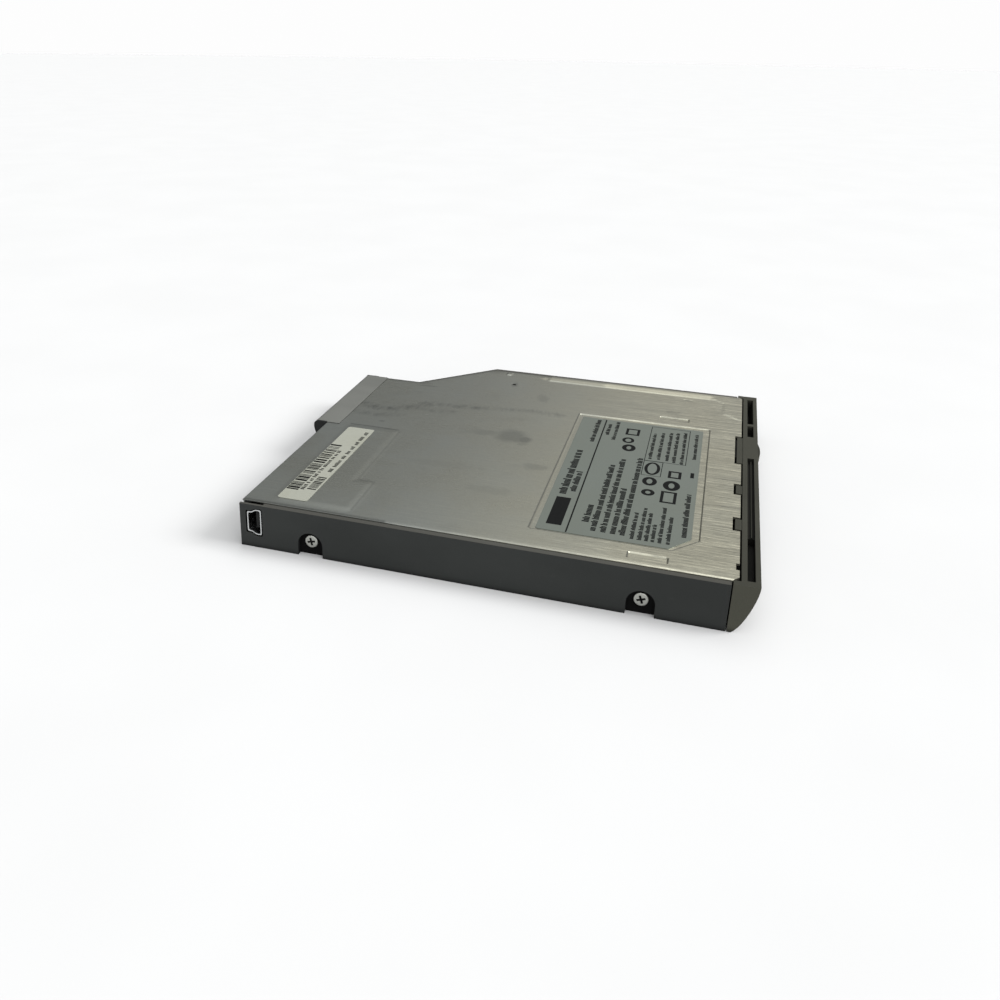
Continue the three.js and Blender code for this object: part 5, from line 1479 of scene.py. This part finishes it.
@dataclass
class CrossScrew:
    """A cross-head machine screw, modelled with its head's top at zero and pointing down Z."""

    name: str
    node: str
    place: Point3
    turn: Matrix
    head_height: float = 0.75
    reach: float = 2.3
    head_radius: float = 1.8
    shank_radius: float = 0.9
    head_edge: float = 0.3
    edge_share: float = 0.45
    edge_steps: int = 4
    flat_share: float = 0.6
    flat_drop: float = 0.02
    crown: float = 0.03
    thread_start: float = 0.1
    pitch: float = 0.4
    thread_depth: float = 0.16
    tip_taper: float = 0.2
    slot_length: float = 2.15
    slot_width: float = 0.56
    slot_floor: float = 0.07
    slot_gap: float = 0.02
    # Where the black sheet in the cross recess lies: painted shade.
    shade_sunk: float = 0.01
    shade_top: float = 0.45
    sides: int = 32

    def profile(self) -> list[Point2]:
        """Works out the screw's outline from the head's middle to the tip.

        Returns:
            Its corners as radii and heights.
        """
        edge = min(self.head_edge, self.head_height * self.edge_share)
        profile = [(0.0, 0.0), (self.head_radius * self.flat_share, -self.flat_drop)]
        for k in range(self.edge_steps + 1):
            angle = math.pi / 2 * k / self.edge_steps
            radius = self.head_radius - edge + edge * math.sin(angle)
            profile.append((radius, -edge - self.crown + edge * math.cos(angle)))
        profile += [(self.head_radius, -self.head_height), (self.shank_radius, -self.head_height)]
        end = -self.head_height - self.reach
        z = -self.head_height - self.thread_start
        while z - self.pitch > end + self.tip_taper:
            profile += [(self.shank_radius, z), (self.shank_radius - self.thread_depth, z - self.pitch / 2)]
            z -= self.pitch
        return profile + [(self.shank_radius, z), (self.shank_radius - self.tip_taper, end), (0.0, end)]

    def lathe(self) -> Shape:
        """Turns the screw's profile round its axis.

        Returns:
            The closed body of head and shank.
        """
        mesh = bmesh.new()
        rings = []
        for radius, height in self.profile():
            points = ellipse((0.0, 0.0), (radius, radius), self.sides if radius > 0 else 1)
            rings.append([mesh.verts.new((*point, height)) for point in points])
        for first, second in zip(rings, rings[1:]):
            for k in range(self.sides):
                after = k + 1
                corners = [first[k % len(first)], second[k % len(second)],
                           second[after % len(second)], first[after % len(first)]]
                mesh.faces.new(list(dict.fromkeys(corners)))
        bmesh.ops.recalc_face_normals(mesh, faces=mesh.faces)
        return mesh

    def cross(self, floor: float) -> Shape:
        """Makes the body that the cross recess is cut with.

        Args:
            floor: The recess's floor, as a height.

        Returns:
            Two crossed blocks.
        """
        mesh = bmesh.new()
        half, wide = self.slot_length / 2, self.slot_width / 2
        add_block(mesh, (-half, half), (-wide, wide), (floor, 1.0))
        add_block(mesh, (-wide, wide), (-half, half), (floor, 1.0))
        return mesh

    def build(self) -> None:
        """Builds the screw with its cross recess and sets it in place."""
        floor = self.slot_floor - self.head_height
        whole = placed(self.name + "_whole", written(self.name + "_body", self.lathe()))
        cutter = placed(self.name + "_cutter", written(self.name + "_tool", self.cross(floor)))
        cut = whole.modifiers.new("cross", "BOOLEAN")
        cut.operation = "DIFFERENCE"
        cut.object = cutter
        cut.solver = "EXACT"
        cut.use_self = True
        bpy.context.view_layer.update()
        mesh = bmesh.new()
        mesh.from_object(whole, bpy.context.evaluated_depsgraph_get())
        for item in (whole, cutter):
            bpy.data.objects.remove(item)
        place = Matrix.Translation(Vector(self.place)) @ self.turn
        bmesh.ops.transform(mesh, matrix=place, verts=mesh.verts)
        Maker(self.name, "screw_steel", SCREW, (self.node,)).make(mesh)
        self.shade_recess(place, floor)

    def shade_recess(self, place: Matrix, floor: float) -> None:
        """Lays a black sheet on the floor of the cross recess: painted shade.

        Args:
            place: Where the screw stands.
            floor: The recess's floor, as a height.
        """
        long, wide = self.slot_length / 2 - self.slot_gap, self.slot_width / 2 - self.slot_gap
        arm = [(long, -wide), (long, wide), (wide, wide)]
        turns = ((1, 0), (0, 1), (-1, 0), (0, -1))
        corners = [(x * c - y * s, x * s + y * c) for c, s in turns for x, y in arm]
        mesh = bmesh.new()
        add_plate(mesh, corners, (floor - self.shade_sunk, floor * self.shade_top))
        bmesh.ops.transform(mesh, matrix=place, verts=mesh.verts)
        Maker(self.name + "_recess_shade", "screw_steel", SHADE_BLACK).make(mesh)


@dataclass
class ScrewSet:
    """The side screws and the base screws of the module."""

    side_y: Span = (19.45, 103.4)
    side_z: float = 4.0
    left_x: float = 0.75
    right_x: float = 101.55
    pocket_x: float = 1.44
    pocket_z: float = 3.3
    pocket_radius: float = 3.36
    pocket_steps: int = 15
    # Thickness and foot of the black sheets in the pockets: painted shade.
    shade_thickness: float = 0.08
    shade_foot: float = 0.05
    base: tuple[Point2, ...] = ((124.4, 3.3), (102.7, 83.0), (12.925, 9.725), (12.925, 94.975))
    base_z: float = 0.02
    base_head: float = 0.35
    base_reach: float = 1.5
    base_turn: float = 31.0

    def shade_pocket(self, end: str, y: float) -> None:
        """Lays a black sheet on the wall of an open side pocket, round the screw's head: painted shade.

        Args:
            end: The pocket's end of the rail.
            y: The screw's place on Y.
        """
        radius = self.pocket_radius
        angles = np.linspace(0, math.pi, self.pocket_steps)
        arch = [(y + radius * math.cos(a), self.pocket_z + radius * math.sin(a)) for a in angles]
        corners = [(y + radius, self.shade_foot), *arch, (y - radius, self.shade_foot)]
        mesh = bmesh.new()
        outer, inner = [
            [mesh.verts.new((x, *corner)) for corner in corners]
            for x in (self.pocket_x, self.pocket_x + self.shade_thickness)
        ]
        mesh.faces.new(outer)
        mesh.faces.new(inner[::-1])
        join_loops(mesh, inner, outer)
        Maker(f"left_{end}_pocket_shade_sheet", "black_plastic", SHADE_BLACK).make(mesh)

    def build(self) -> None:
        """Builds every screw and lays painted-shade sheets in the two open pockets."""
        ends = dict(zip(("front", "rear"), self.side_y))
        for end, y in ends.items():
            self.shade_pocket(end, y)
        for end, y in ends.items():
            for side, x, turn in (("left", self.left_x, -90), ("right", self.right_x, 90)):
                spin = Matrix.Rotation(math.radians(turn), 4, "Y") @ Matrix.Rotation(math.radians(y), 4, "Z")
                CrossScrew(f"{side}_{end}_screw", f"{side}_screw_{end}", (x, y, self.side_z), spin).build()
        for index, (x, y) in enumerate(self.base, 1):
            turn = math.radians(self.base_turn * index)
            spin = Matrix.Rotation(math.pi, 4, "X") @ Matrix.Rotation(turn, 4, "Z")
            name, node = f"underside_screw_{index}", f"base_screw_{index}"
            CrossScrew(name, node, (x, y, self.base_z), spin, self.base_head, self.base_reach).build()


@dataclass
class CarriedParts:
    """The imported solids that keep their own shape, by finish and by the width of their rounded edges."""

    groups: tuple[tuple[Finish, float, tuple[str, ...]], ...] = (
        (RAIL, 0.22, ("carrier_frame",)),
        (HOOD, 0.12, ("connector_hood",)),
        (BEZEL, 0.16, ("front_bezel",)),
        (BEZEL, 0.1, ("disk_door",)),
        (BEZEL, 0.15, ("eject_button",)),
        (LENS, 0.1, ("light_pipe",)),
        (IVORY, 0.15, ("activity_lamp",)),
        (IVORY, 0.12, ("protect_switch", "presence_switch")),
        (PLATE, 0.08, ("base_plate", "drive_chassis", "disk_holder", "slide_plate", "motor_bracket")),
        (PLATE, 0.1, ("shutter_lever", "upper_head_arm")),
        (SHELL, 0.08, ("socket_shell",)),
        (SCREW, 0.0, ("slide_spring", "lead_screw")),
        (SCREW, 0.08, ("spring_anchor",)),
        (SCREW, 0.15, ("drive_pin",)),
        (SCREW, 0.4, ("crystal_can",)),
        (BOARD, 0.04, ("spindle_board", "controller_board")),
        (RIBBON, 0.04, ("drive_ribbon",)),
        (GOLD, 0.04, ("lower_contacts", "upper_contacts")),
        (BRASS, 0.1, ("spindle_bearing",)),
        (COPPER, 0.1, ("stator_core",)),
        (ROTOR, 0.1, ("spindle_rotor", "guide_rod")),
        (ROTOR, 0.08, ("chucking_hub",)),
        (ROTOR, 0.15, ("spindle_shaft",)),
        (ROTOR, 0.25, ("stepper_motor",)),
        (CERAMIC, 0.12, ("lower_head", "upper_head")),
        (BLACK, 0.08, ("socket_tongue",)),
        (BLACK, 0.12, ("head_carriage", "controller_chip", "bay_connector")),
        (BLACK, 0.12, ("protect_plunger", "presence_plunger")),
        (BLACK, 0.15, ("track_sensor",)),
        (BLACK, 0.3, ("capacitor",)),
    )

    def dress(self, node: str, finish: Finish, width: float) -> None:
        """Gives one carried solid its finish and its rounded edges.

        Args:
            node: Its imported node.
            finish: Its finish.
            width: The rounding's width in millimetres, zero for none.
        """
        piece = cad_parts[node]
        if not piece.material_slots:
            piece.data.materials.append(None)
        for slot in piece.material_slots:
            slot.link = "OBJECT"
            slot.material = finish.material()
        if width > 0:
            soften(piece, width)
        log.info("dressed %s in %s", node, finish.name)

    def build(self) -> None:
        """Dresses every carried solid."""
        for finish, width, nodes in self.groups:
            for node in nodes:
                self.dress(node, finish, width)


@dataclass(frozen=True)
class Glow:
    """A soft patch of light in the surroundings: its middle, how it fades round that, and its tint."""

    name: str
    towards: Point3
    spread: tuple[float, float, float, float]
    tint: Colour


@dataclass
class Studio:
    """The pale floor, the soft light and the camera."""

    focal: float = 952.88
    picture: float = 1000.0
    centre: Point2 = (424.41, 410.45)
    place: Point3 = (-0.261987, -0.048332, 0.126157)
    right: Point3 = (0.301126, -0.953454, 0.015760)
    down: Point3 = (-0.344087, -0.124056, -0.930707)
    forward: Point3 = (0.889341, 0.274837, -0.365427)
    sensor: float = 36.0
    clip: Span = (0.01, 50.0)
    floor_radius: float = 6.0
    floor_sides: int = 64
    floor_grain: float = 60.0
    floor_tones: tuple[Colour, Colour] = ((0.51, 0.51, 0.51), (0.52, 0.52, 0.52))
    floor_rough: float = 0.9
    floor_gloss: float = 0.1
    backdrop: Colour = (0.985, 0.985, 0.985)
    glows: tuple[Glow, ...] = (
        Glow("room", (0.0, 0.0, 1.0), (0.02, 0.38, 0.06, 0.21), (0.955, 0.985, 1.0)),
        Glow("overhead", (-0.15, -0.4, 0.93), (0.62, 0.93, 0.0, 1.6), (0.98, 0.99, 1.0)),
        Glow("far_slope", (0.52, 0.14, 0.84), (0.88, 0.985, 0.0, 1.4), (0.98, 1.0, 1.0)),
        Glow("beyond", (0.75, -0.55, 0.38), (0.55, 0.9, 0.0, 0.44), (1.0, 0.96, 0.88)),
        Glow("camera_side", (-0.93, -0.2, 0.3), (0.5, 1.0, 0.0, 1.7), (1.0, 1.0, 1.0)),
        Glow("behind", (-0.25, 1.0, 0.3), (0.62, 1.0, 0.0, 0.5), (1.0, 1.0, 1.0)),
    )
    key_towards: Point3 = (-0.12, 0.8, -0.6)
    key_strength: float = 3.1
    key_spread: float = 26.0

    def camera(self) -> None:
        """Sets the camera where the photograph was taken from."""
        data = bpy.data.cameras.new("camera")
        data.sensor_width = self.sensor
        data.lens = self.focal / self.picture * self.sensor
        data.shift_x = 0.5 - self.centre[0] / self.picture
        data.shift_y = self.centre[1] / self.picture - 0.5
        data.clip_start, data.clip_end = self.clip
        eye = placed("camera", data)
        axes = Matrix((self.right, [-c for c in self.down], [-c for c in self.forward])).transposed()
        eye.matrix_world = Matrix.Translation(Vector(self.place)) @ axes.to_4x4()
        bpy.context.scene.camera = eye

    def floor(self) -> None:
        """Lays the floor."""
        mesh = bmesh.new()
        bmesh.ops.create_circle(mesh, cap_ends=True, radius=self.floor_radius, segments=self.floor_sides)
        ground = placed("floor", written("floor", mesh))
        graph = Graph("floor_paper")
        tone = graph.span(graph.noise(self.floor_grain, detail=2), 0.3, 0.7)
        graph.set("Base Color", graph.mix(tone, *self.floor_tones))
        graph.set("Roughness", self.floor_rough)
        graph.set("Specular IOR Level", self.floor_gloss)
        ground.data.materials.append(graph.material)

    def world(self) -> None:
        """Sets the surroundings: patches of light, with a plain pale ground in the camera's view."""
        world = bpy.data.worlds.new("studio")
        bpy.context.scene.world = world
        world.use_nodes = True
        nodes = Nodes(world.node_tree)
        place = nodes.node("ShaderNodeTexCoord").outputs["Generated"]
        total = None
        for glow in self.glows:
            inputs = {0: place, 1: Vector(glow.towards).normalized()}
            facing = nodes.node("ShaderNodeVectorMath", inputs, operation="DOT_PRODUCT").outputs["Value"]
            inputs = {"Color": glow.tint, "Strength": nodes.span(facing, *glow.spread)}
            shade = nodes.node("ShaderNodeBackground", inputs, name=glow.name).outputs[0]
            if total is not None:
                shade = nodes.node("ShaderNodeAddShader", {0: total, 1: shade}).outputs[0]
            total = shade
        plain = nodes.node("ShaderNodeBackground", {"Color": self.backdrop}).outputs[0]
        seen = nodes.node("ShaderNodeLightPath").outputs["Is Camera Ray"]
        both = nodes.node("ShaderNodeMixShader", {0: seen, 1: total, 2: plain}).outputs[0]
        nodes.node("ShaderNodeOutputWorld", {0: both})

    def light(self) -> None:
        """Adds the one broad, even light that shines towards the rear and down."""
        data = bpy.data.lights.new("key", "SUN")
        data.energy = self.key_strength
        data.angle = math.radians(self.key_spread)
        lamp = placed("key", data)
        lamp.rotation_mode = "QUATERNION"
        lamp.rotation_quaternion = Vector(self.key_towards).to_track_quat("-Z", "Y")

    def build(self) -> None:
        """Builds the whole studio."""
        bpy.context.scene.view_settings.view_transform = "Standard"
        self.camera()
        self.floor()
        self.world()
        self.light()


def main() -> None:
    """Builds the studio and each sub-assembly in order."""
    logging.basicConfig(level=logging.INFO, format="%(name)s: %(message)s")
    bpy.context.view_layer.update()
    Studio().build()
    CarriedParts().build()
    SteelCover().build()
    SpecLabel().build()
    StripLabel().build()
    ScrewSet().build()


if __name__ == "__main__":
    main()
